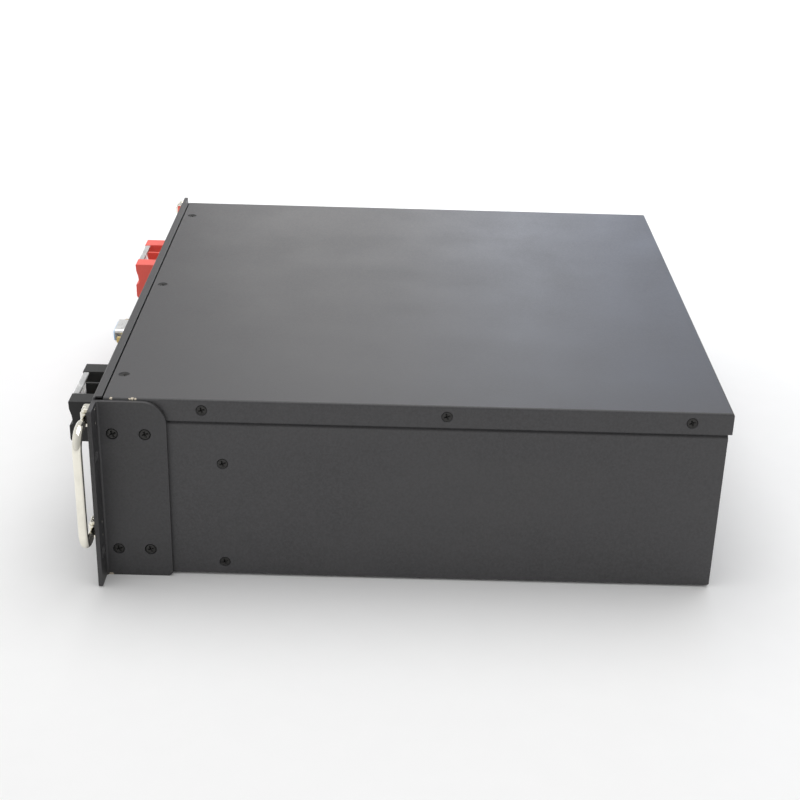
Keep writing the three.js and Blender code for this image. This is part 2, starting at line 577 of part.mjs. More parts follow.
function managementBoard() {
  const rooted = BMS_FRONT + 0.5;
  const board = box(BMS.left, BMS.right, BMS_FRONT, BMS.back, BMS.low, BMS.high);
  const transistor = (i) => {
    const left = TRANSISTORS.left + i * TRANSISTORS.pitch;
    const front = BMS_FRONT - TRANSISTORS.depth;
    return box(left, left + TRANSISTORS.width, front, rooted, TRANSISTORS.low, TRANSISTORS.high);
  };
  const capacitor = (i) => rod(
    'y', [CAPACITORS.x + i * CAPACITORS.pitch, BMS_FRONT - CAPACITORS.length, CAPACITORS.z],
    CAPACITORS.length + 0.5, CAPACITORS.radius, CAPACITORS.radius, 16);
  const connector = (low) => box(
    CONNECTORS.left, CONNECTORS.right, BMS_FRONT - CONNECTORS.depth, rooted, low, low + CONNECTORS.height);
  const processor = box(
    PROCESSOR.left, PROCESSOR.right, BMS_FRONT - PROCESSOR.depth, rooted, PROCESSOR.low, PROCESSOR.high);
  return join(board, ...count(TRANSISTORS.count).map(transistor),
    ...count(CAPACITORS.count).map(capacitor), ...CONNECTORS.low.map(connector), processor);
}

function heatSink() {
  const left = BMS.left + SINK.inset;
  const right = BMS.right - SINK.inset;
  const back = BMS.back + GAP + SINK.plate;
  const plate = box(left, right, BMS.back + GAP, back, SINK.low, SINK.high);
  const fin = (i) => {
    const low = SINK.low + SINK.fin + i * SINK.finPitch;
    return box(left, right, back - 1, PARTITION.y - GAP, low, low + SINK.fin);
  };
  return join(plate, ...count(SINK.fins).map(fin));
}

// The tab behind a terminal block that both of its bolts pass through.
const TAB_FRONT = PANEL_BACK + 2 * GAP;
const TAB_HALF_HEIGHT = 11;

function boltTab(x, left, right) {
  const plate = box(x - left, x + right, TAB_FRONT, TAB_FRONT + BAR,
    BOLT_Z - TAB_HALF_HEIGHT, BOLT_Z + TAB_HALF_HEIGHT);
  const holes = [-1, 1].map((bay) => rod(
    'y', [x + bay * BAY_OFFSET, TAB_FRONT - 1, BOLT_Z], BAR + 2, BLOCK.bore, BLOCK.bore, 12));
  return { plate, holes };
}

const barAt = (x, y0, y1, z0, z1) => box(x - BAR_HALF, x + BAR_HALF, y0, y1, z0, z1);
const TERMINAL_REACH = CELL_FRONT + CELL.inset + 9;   // rear end of the bars on the first cell row

function positiveBusbar() {
  const x = columnX(CELL_COLUMNS - 1);
  const { plate, holes } = boltTab(-BLOCK.centre, 42, 20);
  const riser = barAt(x, TAB_FRONT, TAB_FRONT + BAR, BOLT_Z - TAB_HALF_HEIGHT, LINK_LEVEL + BAR);
  const run = barAt(x, TAB_FRONT, TERMINAL_REACH, LINK_LEVEL, LINK_LEVEL + BAR);
  return cut(join(plate, riser, run), ...holes);
}

function batteryBusbar() {
  const x = columnX(0);
  const front = BMS_FRONT - GAP - BAR;
  const drop = barAt(x, front, front + BAR, BMS.high - 20, LINK_LEVEL + BAR);
  const run = barAt(x, front, TERMINAL_REACH, LINK_LEVEL, LINK_LEVEL + BAR);
  return join(drop, run);
}

function outputBusbar() {
  const x = BLOCK.centre;
  const { plate, holes } = boltTab(x, 20, 20);
  const front = BMS_FRONT - GAP - BAR;
  const level = BOLT_Z - 30;
  const drop = barAt(x, TAB_FRONT, TAB_FRONT + BAR, level, BOLT_Z);
  const run = barAt(x, TAB_FRONT, front + BAR, level, level + BAR);
  const foot = barAt(x, front, front + BAR, level - 24, level + 1);
  return cut(join(plate, drop, run, foot), ...holes);
}

// ---- assembly ----
const assembly = new THREE.Group();

function add(name, geometry, material, x = 0, y = 0, z = 0) {
  const mesh = new THREE.Mesh(geometry, material);
  mesh.name = name;
  mesh.position.set(x, y, z);
  assembly.add(mesh);
}

add('chassis_tray', chassisTray(), POWDER_COAT);
add('top_cover', topCover(), POWDER_COAT);
add('front_panel', frontPanel(), POWDER_COAT);
add('partition_plate', partitionPlate(), ZINC_STEEL);

const behindTab = TRAY_INSIDE - 2 * GAP - SHEET;
const behindWall = TRAY_INSIDE - GAP;
const earScrews = stripOfScrews(
  EAR_OUTSIDE - SCREW.sunk, pairs(EAR_SCREW_Y, EAR_SCREW_Z), behindTab, [0, 32, 12, 116]);
const coverScrews = stripOfScrews(
  SIDE - SCREW.sunk, pairs(FLANGE_SCREW_Y, [FLANGE_SCREW_Z]), behindWall, [58, 400, 121, 129]);
const partitionScrews = stripOfScrews(
  SIDE - SCREW.sunk, pairs([PARTITION_SCREW_Y], PARTITION_SCREW_Z), behindTab, [75, 82, 5, 92]);
for (const [side, sign] of SIDES) {
  add(`ear_bracket_${side}`, mirrored(earBracket(), sign), POWDER_COAT);
  add(`ear_screws_${side}`, mirrored(earScrews, sign), BLACK_STEEL);
  add(`cover_screws_${side}`, mirrored(coverScrews, sign), BLACK_STEEL);
  add(`partition_screws_${side}`, mirrored(partitionScrews, sign), BLACK_STEEL);
  add(`handle_foot_lower_${side}`, mirrored(handleFoot(HANDLE.lowZ), sign), CHROME);
  add(`handle_foot_upper_${side}`, mirrored(handleFoot(HANDLE.highZ), sign), CHROME);
  add(`handle_bail_${side}`, mirrored(handleBail(), sign), CHROME);
  add(`cell_end_plate_${side}`, mirrored(endPlate(), sign), ALUMINIUM);
}

// The three screws on the cover's front edge stand upright, so they are turned another way.
function frontScrews() {
  const stripTop = TRAY_TOP - SHEET - GAP;
  const tip = stripTop - SHEET;
  const headTop = CASE_HEIGHT - SCREW.sunk;
  const underHead = headTop - SCREW.depth;
  const strip = box(-190, 190, 3, 12, tip, stripTop);
  const screws = TOP_SCREW_X.flatMap((x) => [
    rod('z', [x, TOP_SCREW_Y, tip], underHead - tip + 0.1, SCREW.shank, SCREW.shank, 8),
    rod('z', [x, TOP_SCREW_Y, underHead], SCREW.depth, SCREW.shank, SCREW.head)]);
  return join(strip, ...screws);
}
add('cover_screws_front', frontScrews(), BLACK_STEEL);

const TERMINALS = [['negative', 1, BLACK_PLASTIC], ['positive', -1, RED_PLASTIC]];
for (const [pole, sign, plastic] of TERMINALS) {
  const x = sign * BLOCK.centre;
  add(`terminal_block_${pole}`, terminalBlock(), plastic, x);
  add(`terminal_cover_${pole}`, terminalCover(), CLEAR_PLASTIC, x);
  add(`terminal_bolt_${pole}_left`, terminalBolt(), BRASS, x - BAY_OFFSET);
  add(`terminal_bolt_${pole}_right`, terminalBolt(), BRASS, x + BAY_OFFSET);
}

add('comm_port_shell', portShell(), ZINC_STEEL);
add('comm_port_insert', portInsert(), BLUE_PLASTIC);
add('comm_jackscrew_left', jackscrew(), BRASS, PORT.x - PORT.screwSpacing / 2, 0, PORT.z);
add('comm_jackscrew_right', jackscrew(), BRASS, PORT.x + PORT.screwSpacing / 2, 0, PORT.z);
add('status_light_bar', lightBar(), CLEAR_PLASTIC);
add('power_switch_bezel', switchBezel(), ZINC_STEEL);
add('power_button', powerButton(), ZINC_STEEL);
add('reset_button', resetButton(), BLACK_PLASTIC);
add('front_board', frontBoard(), CIRCUIT_BOARD);

for (let row = 0; row < CELL_ROWS; row += 1) {
  for (let column = 0; column < CELL_COLUMNS; column += 1) {
    const number = String(row * CELL_COLUMNS + column + 1).padStart(2, '0');
    add(`cell_${number}`, cell(), CELL_FILM, columnX(column), rowY(row));
  }
}
add('cell_link_carrier', linkCarrier(), BLACK_PLASTIC);

add('bms_board', managementBoard(), CIRCUIT_BOARD);
add('bms_heat_sink', heatSink(), ALUMINIUM);
add('main_busbar_positive', positiveBusbar(), COPPER);
add('battery_busbar_negative', batteryBusbar(), COPPER);
add('output_busbar_negative', outputBusbar(), COPPER);

// The pack's own origin is under its middle, level with the lowest point of the ears.
assembly.position.set(0, -(CASE_DEPTH + BLOCK_FRONT) / 2, -EAR.low);
const part = new THREE.Group();
part.add(assembly);

export default part;
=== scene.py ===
"""The looks of a 3U rack battery pack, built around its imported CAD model.

Shapes are worked out in millimetres in the CAD's frame and turned into metres as they become
pieces. Places come from the boxes of the CAD nodes.
"""
import math

import bmesh
import bpy
from mathutils import Matrix, Vector


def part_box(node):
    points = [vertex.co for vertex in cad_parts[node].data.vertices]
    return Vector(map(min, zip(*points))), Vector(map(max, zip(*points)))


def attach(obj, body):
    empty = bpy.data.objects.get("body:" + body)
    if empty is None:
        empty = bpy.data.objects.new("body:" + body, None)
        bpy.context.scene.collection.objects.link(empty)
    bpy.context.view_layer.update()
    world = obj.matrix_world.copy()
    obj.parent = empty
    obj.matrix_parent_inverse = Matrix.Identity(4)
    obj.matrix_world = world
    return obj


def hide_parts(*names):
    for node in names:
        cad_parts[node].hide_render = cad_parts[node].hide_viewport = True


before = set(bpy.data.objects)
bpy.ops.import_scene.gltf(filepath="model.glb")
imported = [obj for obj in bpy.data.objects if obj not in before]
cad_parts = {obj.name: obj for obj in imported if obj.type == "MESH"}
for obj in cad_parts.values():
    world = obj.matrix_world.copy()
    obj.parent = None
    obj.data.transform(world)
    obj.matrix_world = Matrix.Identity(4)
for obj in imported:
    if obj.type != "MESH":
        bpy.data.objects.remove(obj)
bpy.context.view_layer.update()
scene = bpy.context.scene

MM = 0.001
SHEET = 1.5      # thickness of the case's steel
GAP = 0.3        # clearance between neighbouring parts
AXES = {
    "x": lambda u, v, w: (w, u, v),
    "y": lambda u, v, w: (u, w, v),
    "z": lambda u, v, w: (u, v, w),
}
SIDES = (("right", 1), ("left", -1))


def box(node):
    """A CAD node's lowest and highest corners, in millimetres."""
    low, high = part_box(node)
    return low / MM, high / MM


def centre(node):
    low, high = box(node)
    return (low + high) / 2


# ---- outlines ----
def rounded(corners, radius, steps=5):
    """The outline with its corners turned into arcs, of one radius or of one for each corner."""
    radii = radius if isinstance(radius, (list, tuple)) else [radius] * len(corners)
    outline = []
    for i, (corner, r) in enumerate(zip(corners, radii)):
        point = Vector(corner)
        before = Vector(corners[i - 1]) - point
        after = Vector(corners[(i + 1) % len(corners)]) - point
        if r <= 0:
            outline.append(tuple(point))
            continue
        half = before.angle(after) / 2
        reach = min(r / math.tan(half), before.length * 0.499, after.length * 0.499)
        r = reach * math.tan(half)
        bisector = (before.normalized() + after.normalized()).normalized()
        middle = point + bisector * (r / math.sin(half))
        start = point + before.normalized() * reach - middle
        end = point + after.normalized() * reach - middle
        turn = math.atan2(start.x * end.y - start.y * end.x, start.dot(end))
        for step in range(steps + 1):
            angle = turn * step / steps
            arm = Vector((
                start.x * math.cos(angle) - start.y * math.sin(angle),
                start.x * math.sin(angle) + start.y * math.cos(angle),
            ))
            outline.append(tuple(middle + arm))
    return outline


def rectangle(u0, u1, v0, v1, radius=0.0, steps=5):
    return rounded([(u0, v0), (u1, v0), (u1, v1), (u0, v1)], radius, steps)


def front_outline(low, high, inset, radius, steps=5):
    """A box's outline seen from the front, moved in by an inset all round."""
    return rectangle(low.x + inset, high.x - inset, low.z + inset, high.z - inset, radius, steps)


def circle(radius, sides=32):
    turns = [2 * math.pi * i / sides for i in range(sides)]
    return [(radius * math.cos(a), radius * math.sin(a)) for a in turns]


# ---- solids, in millimetres ----
def skin(rings):
    """A closed solid over rings of points, with flat ends; a ring may close up to a tip."""
    sides = len(rings[0])
    vertices = [tuple(point) for ring in rings for point in ring]
    faces = [range(sides), range(len(vertices) - sides, len(vertices))]
    for start in range(0, len(vertices) - sides, sides):
        for i in range(start, start + sides):
            j = start + (i + 1 - start) % sides
            faces.append((i, j, j + sides, i + sides))
    mesh = bpy.data.meshes.new("solid")
    mesh.from_pydata(vertices, [], faces)
    work = bmesh.new()
    work.from_mesh(mesh)
    bmesh.ops.remove_doubles(work, verts=work.verts, dist=1e-5)
    bmesh.ops.recalc_face_normals(work, faces=work.faces)
    work.to_mesh(mesh)
    work.free()
    shape = bpy.data.objects.new("solid", mesh)
    scene.collection.objects.link(shape)
    return shape


def prism(outline, axis, low, high):
    """The outline pulled along an axis; it lies in (y, z) for x, (x, z) for y and (x, y) for z."""
    return skin([[AXES[axis](u, v, w) for u, v in outline] for w in (low, high)])


def block(low, high):
    return prism(rectangle(low[0], high[0], low[1], high[1]), "z", low[2], high[2])


def turned(profile, axis, place=(0, 0, 0), sides=32):
    """A profile of (radius, height) points, from axis to axis, turned about an axis through place."""
    return skin([
        [Vector(AXES[axis](u, v, height)) + Vector(place) for u, v in circle(radius, sides)]
        for radius, height in profile])


def rod(axis, place, length, radius, sides=32):
    return turned([(0, 0), (radius, 0), (radius, length), (0, length)], axis, place, sides)


def baked(shape):
    """The shape with its modifiers worked into its mesh."""
    bpy.context.view_layer.update()
    graph = bpy.context.evaluated_depsgraph_get()
    mesh = bpy.data.meshes.new_from_object(shape.evaluated_get(graph))
    shape.modifiers.clear()
    shape.data = mesh
    return shape


def modify(shape, name, kind, **settings):
    modifier = shape.modifiers.new(name, kind)
    for key, value in settings.items():
        setattr(modifier, key, value)


def combined(shape, others, operation):
    for other in others:
        modify(shape, "boolean", "BOOLEAN", operation=operation, solver="MANIFOLD", object=other)
        baked(shape)
        bpy.data.objects.remove(other)
    return shape


def cut(shape, *tools):
    return combined(shape, tools, "DIFFERENCE")


def joined(shape, *others):
    return combined(shape, others, "UNION")


def common(shape, *others):
    return combined(shape, others, "INTERSECT")


def gathered(shapes):
    """Separate solids put into one mesh without joining them."""
    work = bmesh.new()
    for shape in shapes:
        mesh = shape.data.copy()
        mesh.transform(shape.matrix_world)
        work.from_mesh(mesh)
        bpy.data.meshes.remove(mesh)
        bpy.data.objects.remove(shape)
    mesh = bpy.data.meshes.new("gathered")
    work.to_mesh(mesh)
    work.free()
    whole = bpy.data.objects.new("gathered", mesh)
    scene.collection.objects.link(whole)
    return whole


def moved(shape, place):
    shape.data.transform(Matrix.Translation(place))
    return shape


def sided(shape, sign):
    """A shape made for the right side, or with sign -1 its mirror image on the left."""
    if sign < 0:
        shape.data.transform(Matrix.Scale(-1, 4, (1, 0, 0)))
        shape.data.flip_normals()
    return shape


def mirrored_pair(low, high):
    """A block on the right and its mirror image on the left."""
    return [sided(block(low, high), sign) for _, sign in SIDES]


def limits(shape):
    """The lowest and highest corners of a shape's own box."""
    corners = list(zip(*(vertex.co for vertex in shape.data.vertices)))
    return [min(values) for values in corners], [max(values) for values in corners]


def softened(shape, width, segments=3, angle=28):
    """Edges sharper than the angle get a small round of the given width, inside the shape's box."""
    low, high = limits(shape)
    modify(shape, "edges", "BEVEL", width=width, segments=segments, limit_method="ANGLE",
           angle_limit=math.radians(angle), use_clamp_overlap=False, miter_outer="MITER_ARC")
    baked(shape)
    for vertex in shape.data.vertices:
        vertex.co = [min(max(c, a), b) for c, a, b in zip(vertex.co, low, high)]
    return shape


def piece(name, shape, finish, *nodes, body="case"):
    """Turns a finished shape into a piece in metres that rides on a body and stands for CAD nodes."""
    shape.data.transform(Matrix.Scale(MM, 4))
    shape.name = name
    shape.data.name = name
    shape.data.materials.clear()
    shape.data.materials.append(finish)
    shape.data.shade_smooth()
    modify(shape, "normals", "WEIGHTED_NORMAL", keep_sharp=False, weight=60)
    baked(shape)
    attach(shape, body)
    if nodes:
        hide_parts(*nodes)


def stand_in(node, shape, finish, body="case"):
    """A piece that takes the place of one CAD node."""
    piece(node + "_detail", shape, finish, node, body=body)


# ---- materials ----
class Nodes:
    """The node tree of a material or a world, with short ways to add and link nodes."""

    def __init__(self, owner):
        owner.use_nodes = True
        self.tree = owner.node_tree

    def add(self, kind, inputs=None, **settings):
        node = self.tree.nodes.new(kind)
        for key, value in settings.items():
            setattr(node, key, value)
        for key, value in (inputs or {}).items():
            self.feed(value, node.inputs[key])
        return node

    def feed(self, value, target):
        if isinstance(value, bpy.types.NodeSocket):
            self.tree.links.new(value, target)
        else:
            target.default_value = value

    def ramp(self, value, low, high, start=0.0, end=1.0):
        ends = {"From Min": low, "From Max": high, "To Min": start, "To Max": end}
        node = self.add("ShaderNodeMapRange", {"Value": value, **ends}, clamp=True)
        return node.outputs["Result"]


class Finish(Nodes):
    """A material with one Principled shader, patterned in the object's own coordinates."""

    def __init__(self, name):
        self.material = bpy.data.materials.new(name)
        super().__init__(self.material)
        self.tree.nodes.clear()
        self.shader = self.add("ShaderNodeBsdfPrincipled")
        self.add("ShaderNodeOutputMaterial", {"Surface": self.shader.outputs["BSDF"]})
        self.place = self.add("ShaderNodeTexCoord").outputs["Object"]

    def set(self, **values):
        for key, value in values.items():
            self.feed(value, self.shader.inputs[key.replace("_", " ")])

    def math(self, operation, first, second):
        return self.add("ShaderNodeMath", {0: first, 1: second}, operation=operation).outputs[0]

    def mapped(self, setting, value):
        node = self.add("ShaderNodeMapping", {"Vector": self.place, setting: value})
        return node.outputs["Vector"]

    def noise(self, per_metre, detail=3.0, rough=0.5, vector=None):
        settings = {"Scale": per_metre, "Detail": detail, "Roughness": rough}
        node = self.add("ShaderNodeTexNoise", {"Vector": vector or self.place, **settings})
        return node.outputs["Fac"]

    def mix(self, factor, first, second):
        colours = {"Factor": factor, "A": first, "B": second}
        return self.add("ShaderNodeMix", colours, data_type="RGBA").outputs["Result"]

    def near(self, point, radius):
        """1 at a point, fading to 0 at the radius, both in metres."""
        node = self.add("ShaderNodeVectorMath", {0: self.place, 1: point}, operation="DISTANCE")
        return self.ramp(node.outputs["Value"], 0.0, radius, 1.0, 0.0)

    def bump(self, height, distance, strength=1.0, under=None):
        inputs = {"Height": height, "Distance": distance, "Strength": strength}
        if under:
            inputs["Normal"] = under
        return self.add("ShaderNodeBump", inputs).outputs["Normal"]


def grey(value, warmth=0.0):
    return (value * (1 + warmth), value, value * (1 - warmth), 1.0)


def cool_grey(value):
    return (value, value * 0.98, value * 1.03, 1.0)


def powder_coat(name, shade, chips, smudges):
    """Dark satin powder coat with an orange-peel grain, handling marks and a few bare chips."""
    n = Finish(name)
    cloud = n.noise(16.0, 3.0, 0.6)
    grain = n.noise(2600.0, 2.0, 0.6)
    peel = n.noise(600.0, 3.0, 0.7)
    marks = n.ramp(n.noise(16.0, 4.0, 0.65, n.mapped("Scale", (1.0, 0.5, 1.0))), 0.5, 0.8)
    for point, radius in smudges:
        patch = n.math("MULTIPLY", n.near(point, radius), n.noise(60.0, 5.0, 0.7))
        marks = n.math("MAXIMUM", marks, n.ramp(patch, 0.28, 0.45))
    bare = 0.0
    for point, radius in chips:
        spot = n.math("MULTIPLY", n.near(point, radius), n.noise(900.0, 4.0, 0.7))
        bare = n.math("MAXIMUM", bare, n.ramp(spot, 0.24, 0.28))
    tone = n.mix(n.ramp(cloud, 0.35, 0.65), cool_grey(shade * 0.86), cool_grey(shade * 1.04))
    tone = n.mix(n.ramp(peel, 0.35, 0.65, 0.0, 0.7), tone, cool_grey(shade * 1.5))
    tone = n.mix(n.math("MULTIPLY", marks, 0.25), tone, grey(shade * 1.8, 0.02))
    tone = n.mix(bare, tone, (0.62, 0.55, 0.44, 1.0))
    rough = n.ramp(cloud, 0.3, 0.7, 0.43, 0.49)
    rough = n.math("ADD", rough, n.math("MULTIPLY", marks, 0.04))
    rough = n.math("ADD", rough, n.ramp(peel, 0.35, 0.65, -0.05, 0.05))
    normal = n.bump(peel, 0.00008, 0.5)
    normal = n.bump(grain, 0.00002, 0.5, normal)
    n.set(Base_Color=tone, Roughness=rough, Normal=normal, Metallic=n.math("MULTIPLY", bare, 0.5))
    return n.material


def metal(name, tone, rough, brushed=(1.0, 1.0, 1.0), streak=400.0, depth=0.000004):
    """Bare or plated metal with fine streaks, faint tarnish and uneven gloss."""
    n = Finish(name)
    streaks = n.noise(streak, 3.0, 0.6, n.mapped("Scale", brushed))
    tarnish = n.noise(60.0, 4.0, 0.6)
    dull = tuple(c * 0.72 for c in tone) + (1.0,)
    colour = n.mix(n.ramp(tarnish, 0.4, 0.75, 0.0, 0.6), tone + (1.0,), dull)
    streaked = n.ramp(streaks, 0.3, 0.7, rough * 0.8, rough * 1.2)
    roughness = n.math("ADD", streaked, n.ramp(tarnish, 0.5, 0.8, 0.0, 0.06))
    n.set(Base_Color=colour, Roughness=roughness, Normal=n.bump(streaks, depth, 0.4), Metallic=1.0)
    return n.material


def plastic(name, tone, rough, gloss=0.5):
    """Moulded plastic with a fine spark-eroded grain and slight flow marks."""
    n = Finish(name)
    texture = n.noise(1800.0, 3.0, 0.55)
    flow = n.noise(35.0, 2.0, 0.5, n.mapped("Scale", (1.0, 1.0, 0.4)))
    lighter = tuple(min(1.0, c * 1.18 + 0.004) for c in tone) + (1.0,)
    colour = n.mix(n.ramp(flow, 0.35, 0.7), tone + (1.0,), lighter)
    grained = n.ramp(texture, 0.3, 0.7, rough - 0.05, rough + 0.05)
    roughness = n.math("ADD", grained, n.ramp(flow, 0.4, 0.7, 0.0, 0.04))
    n.set(Base_Color=colour, Roughness=roughness, Normal=n.bump(texture, 0.00001, 0.4),
          Specular_IOR_Level=gloss)
    return n.material


def clear_plastic():
    """Scuffed clear sheet, a little milky where it has been handled."""
    n = Finish("clear_plastic")
    scuff = n.noise(240.0, 5.0, 0.7, n.mapped("Scale", (1.0, 1.0, 3.0)))
    milky = n.ramp(n.noise(70.0, 4.0, 0.6), 0.3, 0.7, 0.44, 0.56)
    n.set(Base_Color=n.mix(scuff, (0.92, 0.93, 0.93, 1.0), (0.98, 0.98, 0.97, 1.0)),
          Roughness=n.ramp(scuff, 0.4, 0.8, 0.1, 0.24), Alpha=milky,
          Normal=n.bump(n.noise(90.0, 2.0), 0.00002, 0.2))
    return n.material


def hazy_plastic(name, dark, light, grain, scatter=0.0):
    """Translucent moulding, hazy all through."""
    n = Finish(name)
    haze = n.noise(grain)
    n.set(Base_Color=n.mix(haze, grey(dark, -0.02), grey(light, -0.02)),
          Roughness=n.ramp(haze, 0.3, 0.7, 0.3, 0.42), Normal=n.bump(haze, 0.00001, 0.3),
          Subsurface_Weight=scatter, Subsurface_Scale=0.002)
    return n.material


def shrink_film():
    """Blue shrink film over a cell's can, with soft wrinkles."""
    n = Finish("cell_film")
    wrinkle = n.noise(45.0, 4.0, 0.6, n.mapped("Scale", (1.0, 1.0, 0.3)))
    n.set(Base_Color=n.mix(wrinkle, (0.02, 0.11, 0.36, 1.0), (0.04, 0.18, 0.48, 1.0)),
          Roughness=n.ramp(wrinkle, 0.3, 0.7, 0.22, 0.34), Normal=n.bump(wrinkle, 0.0003, 0.4))
    return n.material


def circuit_board():
    """Green solder mask over faint copper tracks."""
    n = Finish("circuit_board")
    upright = n.mapped("Rotation", (math.radians(90), 0, 0))
    tracks = n.add("ShaderNodeTexBrick", {
        "Vector": upright, "Scale": 130.0, "Mortar Size": 0.03,
        "Color1": (0.012, 0.10, 0.045, 1.0), "Color2": (0.016, 0.13, 0.055, 1.0),
        "Mortar": (0.03, 0.22, 0.08, 1.0)})
    n.set(Base_Color=tracks.outputs["Color"], Roughness=n.ramp(n.noise(300.0), 0.3, 0.7, 0.3, 0.4),
          Normal=n.bump(tracks.outputs["Fac"], 0.00003, 0.5))
    return n.material


# ---- places taken from the CAD model ----
COVER_LOW, COVER_HIGH = box("top_cover")
TRAY_LOW, TRAY_HIGH = box("chassis_tray")
PANEL_LOW, PANEL_HIGH = box("front_panel")
EAR_LOW, EAR_HIGH = box("ear_bracket_right")
SIDE = COVER_HIGH.x
TOP = COVER_HIGH.z
BASE = TRAY_LOW.z                # the case's underside
FRONT = COVER_LOW.y              # the cover's front edge
PANEL_FRONT = PANEL_LOW.y
SEAT = PANEL_FRONT - GAP         # where parts that stand on the panel's front face begin
EAR_THICKNESS = 3.0
EAR_OUTSIDE = EAR_LOW.x + EAR_THICKNESS
EAR_SCREWS = [(FRONT + y, BASE + z) for y in (5, 27) for z in (20, 108)]
FLANGE_SCREWS = [(FRONT + y, BASE + 125.3) for y in (65, 228.7, 392.4)]
PARTITION_SCREWS = [(FRONT + 78, BASE + z) for z in (9.6, 86)]
TOP_SCREWS = [(x, FRONT + 7.3) for x in (-181, 0, 181)]
HEAD_RADIUS = 3.5
SCREW_HOLE = 2.3
SIDE_SINK = 0.25                 # how far the heads lie below the faces that they hold
TOP_SINK = 0.6
BEND = 1.9                       # outer radius of the case's bends
EDGE = 0.22                      # round that the paint leaves on a cut edge
WALL_INSIDE = SIDE - 2 * (SHEET + GAP)     # where parts that lie against the inner wall begin


def spots(*marks):
    """Marks on the paint as (place, radius) in metres, from x, y, z and radius in millimetres."""
    return [(Vector(place) * MM, radius * MM) for *place, radius in marks]


COVER_CHIPS = spots(*[
    (SIDE, FRONT + along, TOP, radius)
    for along, radius in ((5.2, 2.6), (17.6, 2.4), (19.4, 2.8), (21.2, 2.4))])
EAR_CHIPS = spots((EAR_OUTSIDE, PANEL_FRONT + 6, EAR_LOW.z, 3.2))
SMUDGES = spots(
    (183, FRONT + 75, TOP, 34), (198, FRONT + 190, TOP, 26), (-40, FRONT + 330, TOP, 40),
    (SIDE, FRONT + 255, 62, 20))

COVER_COAT = powder_coat("powder_coat", 0.0435, COVER_CHIPS, SMUDGES)
PANEL_COAT = powder_coat("powder_coat_panel", 0.0375, EAR_CHIPS, SMUDGES[:1])
BLACK_STEEL = metal("black_steel", (0.055, 0.054, 0.053), 0.44, streak=900.0)
ZINC_STEEL = metal("zinc_steel", (0.88, 0.88, 0.87), 0.3, (1.0, 1.0, 0.15), 250.0, 0.000001)
CHROME = metal("chrome", (0.9, 0.87, 0.77), 0.06, streak=200.0, depth=0.000002)
BRASS = metal("brass", (0.66, 0.5, 0.2), 0.24)
COPPER = metal("copper", (0.75, 0.36, 0.2), 0.3, (0.15, 1.0, 1.0))
ALUMINIUM = metal("aluminium", (0.6, 0.61, 0.63), 0.34, (1.0, 0.12, 1.0))
BLACK_PLASTIC = plastic("black_plastic", (0.016, 0.016, 0.016), 0.52, 0.4)
RED_PLASTIC = plastic("red_plastic", (0.9, 0.11, 0.08), 0.42)
BLUE_PLASTIC = plastic("blue_plastic", (0.11, 0.46, 0.84), 0.36)
CLEAR_PLASTIC = clear_plastic()
SMOKED_PLASTIC = hazy_plastic("smoked_plastic", 0.16, 0.22, 400.0)
FROSTED_PLASTIC = hazy_plastic("frosted_plastic", 0.7, 0.82, 500.0, 0.15)
CELL_FILM = shrink_film()
CIRCUIT_BOARD = circuit_board()


# ---- screws ----
def countersink(sheet=SHEET, clearance=0.35):
    """The tool that sinks a screw head into sheet, with its mouth at z = 0 facing +Z."""
    mouth = HEAD_RADIUS + clearance
    return turned(
        [(0, -3 * sheet), (SCREW_HOLE, -3 * sheet), (SCREW_HOLE, -0.3 - 0.9 * sheet),
         (mouth, -0.2), (mouth, 1), (0, 1)], "z")


def cross_recess():
    """A cross-shaped driver recess: two tapered blades and the cone between them."""
    outline = [(-2.1, 0.1), (-1.1, -1.7), (1.1, -1.7), (2.1, 0.1)]
    blades = []
    for turn in (20, 110):
        blade = prism(outline, "y", -0.42, 0.42)
        blade.data.transform(Matrix.Rotation(math.radians(turn), 4, "Z"))
        blades.append(blade)
    cone = turned([(0, -1.9), (0.35, -1.8), (1.15, 0.1), (0, 0.1)], "z", sides=16)
    return joined(cone, *blades)


def screw(length):
    """A countersunk screw with its head's face at z = 0, pointing down."""
    pitch, depth, shank, head = 0.35, 0.22, 2.0, 2.2
    turns = int((length - head - pitch) / pitch)
    thread = [(shank - depth * (i % 2), -head - i * pitch) for i in range(turns)]
    crown = [(0, 0), (HEAD_RADIUS - 0.25, 0), (HEAD_RADIUS, -0.22), (shank, -2.0)]
    return cut(turned(crown + thread + [(0, -length)], "z"), cross_recess())


def facing(shape, direction, place):
    """A shape made facing +Z, turned to face a direction and put in place."""
    turn = Vector((0, 0, 1)).rotation_difference(Vector(direction)).to_matrix().to_4x4()
    shape.data.transform(Matrix.Translation(place) @ turn)
    return shape


def side_countersinks(places):
    return [
        facing(countersink(), (sign, 0, 0), (sign * SIDE, y, z))
        for _, sign in SIDES for y, z in places]


def add_side_screws(name, places, sign, face, strip):
    """Screws driven in from the side, with the threaded strip that they share inside."""
    x1, y0, y1, z0, z1 = strip
    x0 = x1 - SHEET
    head = face - SIDE_SINK
    screws = [facing(screw(head - x0), (1, 0, 0), (head, y, z)) for y, z in places]
    nut_strip = block((x0, FRONT + y0, BASE + z0), (x1, FRONT + y1, BASE + z1))
    screws.append(softened(nut_strip, 0.2, 2))
    stand_in(name, sided(gathered(screws), sign), BLACK_STEEL)


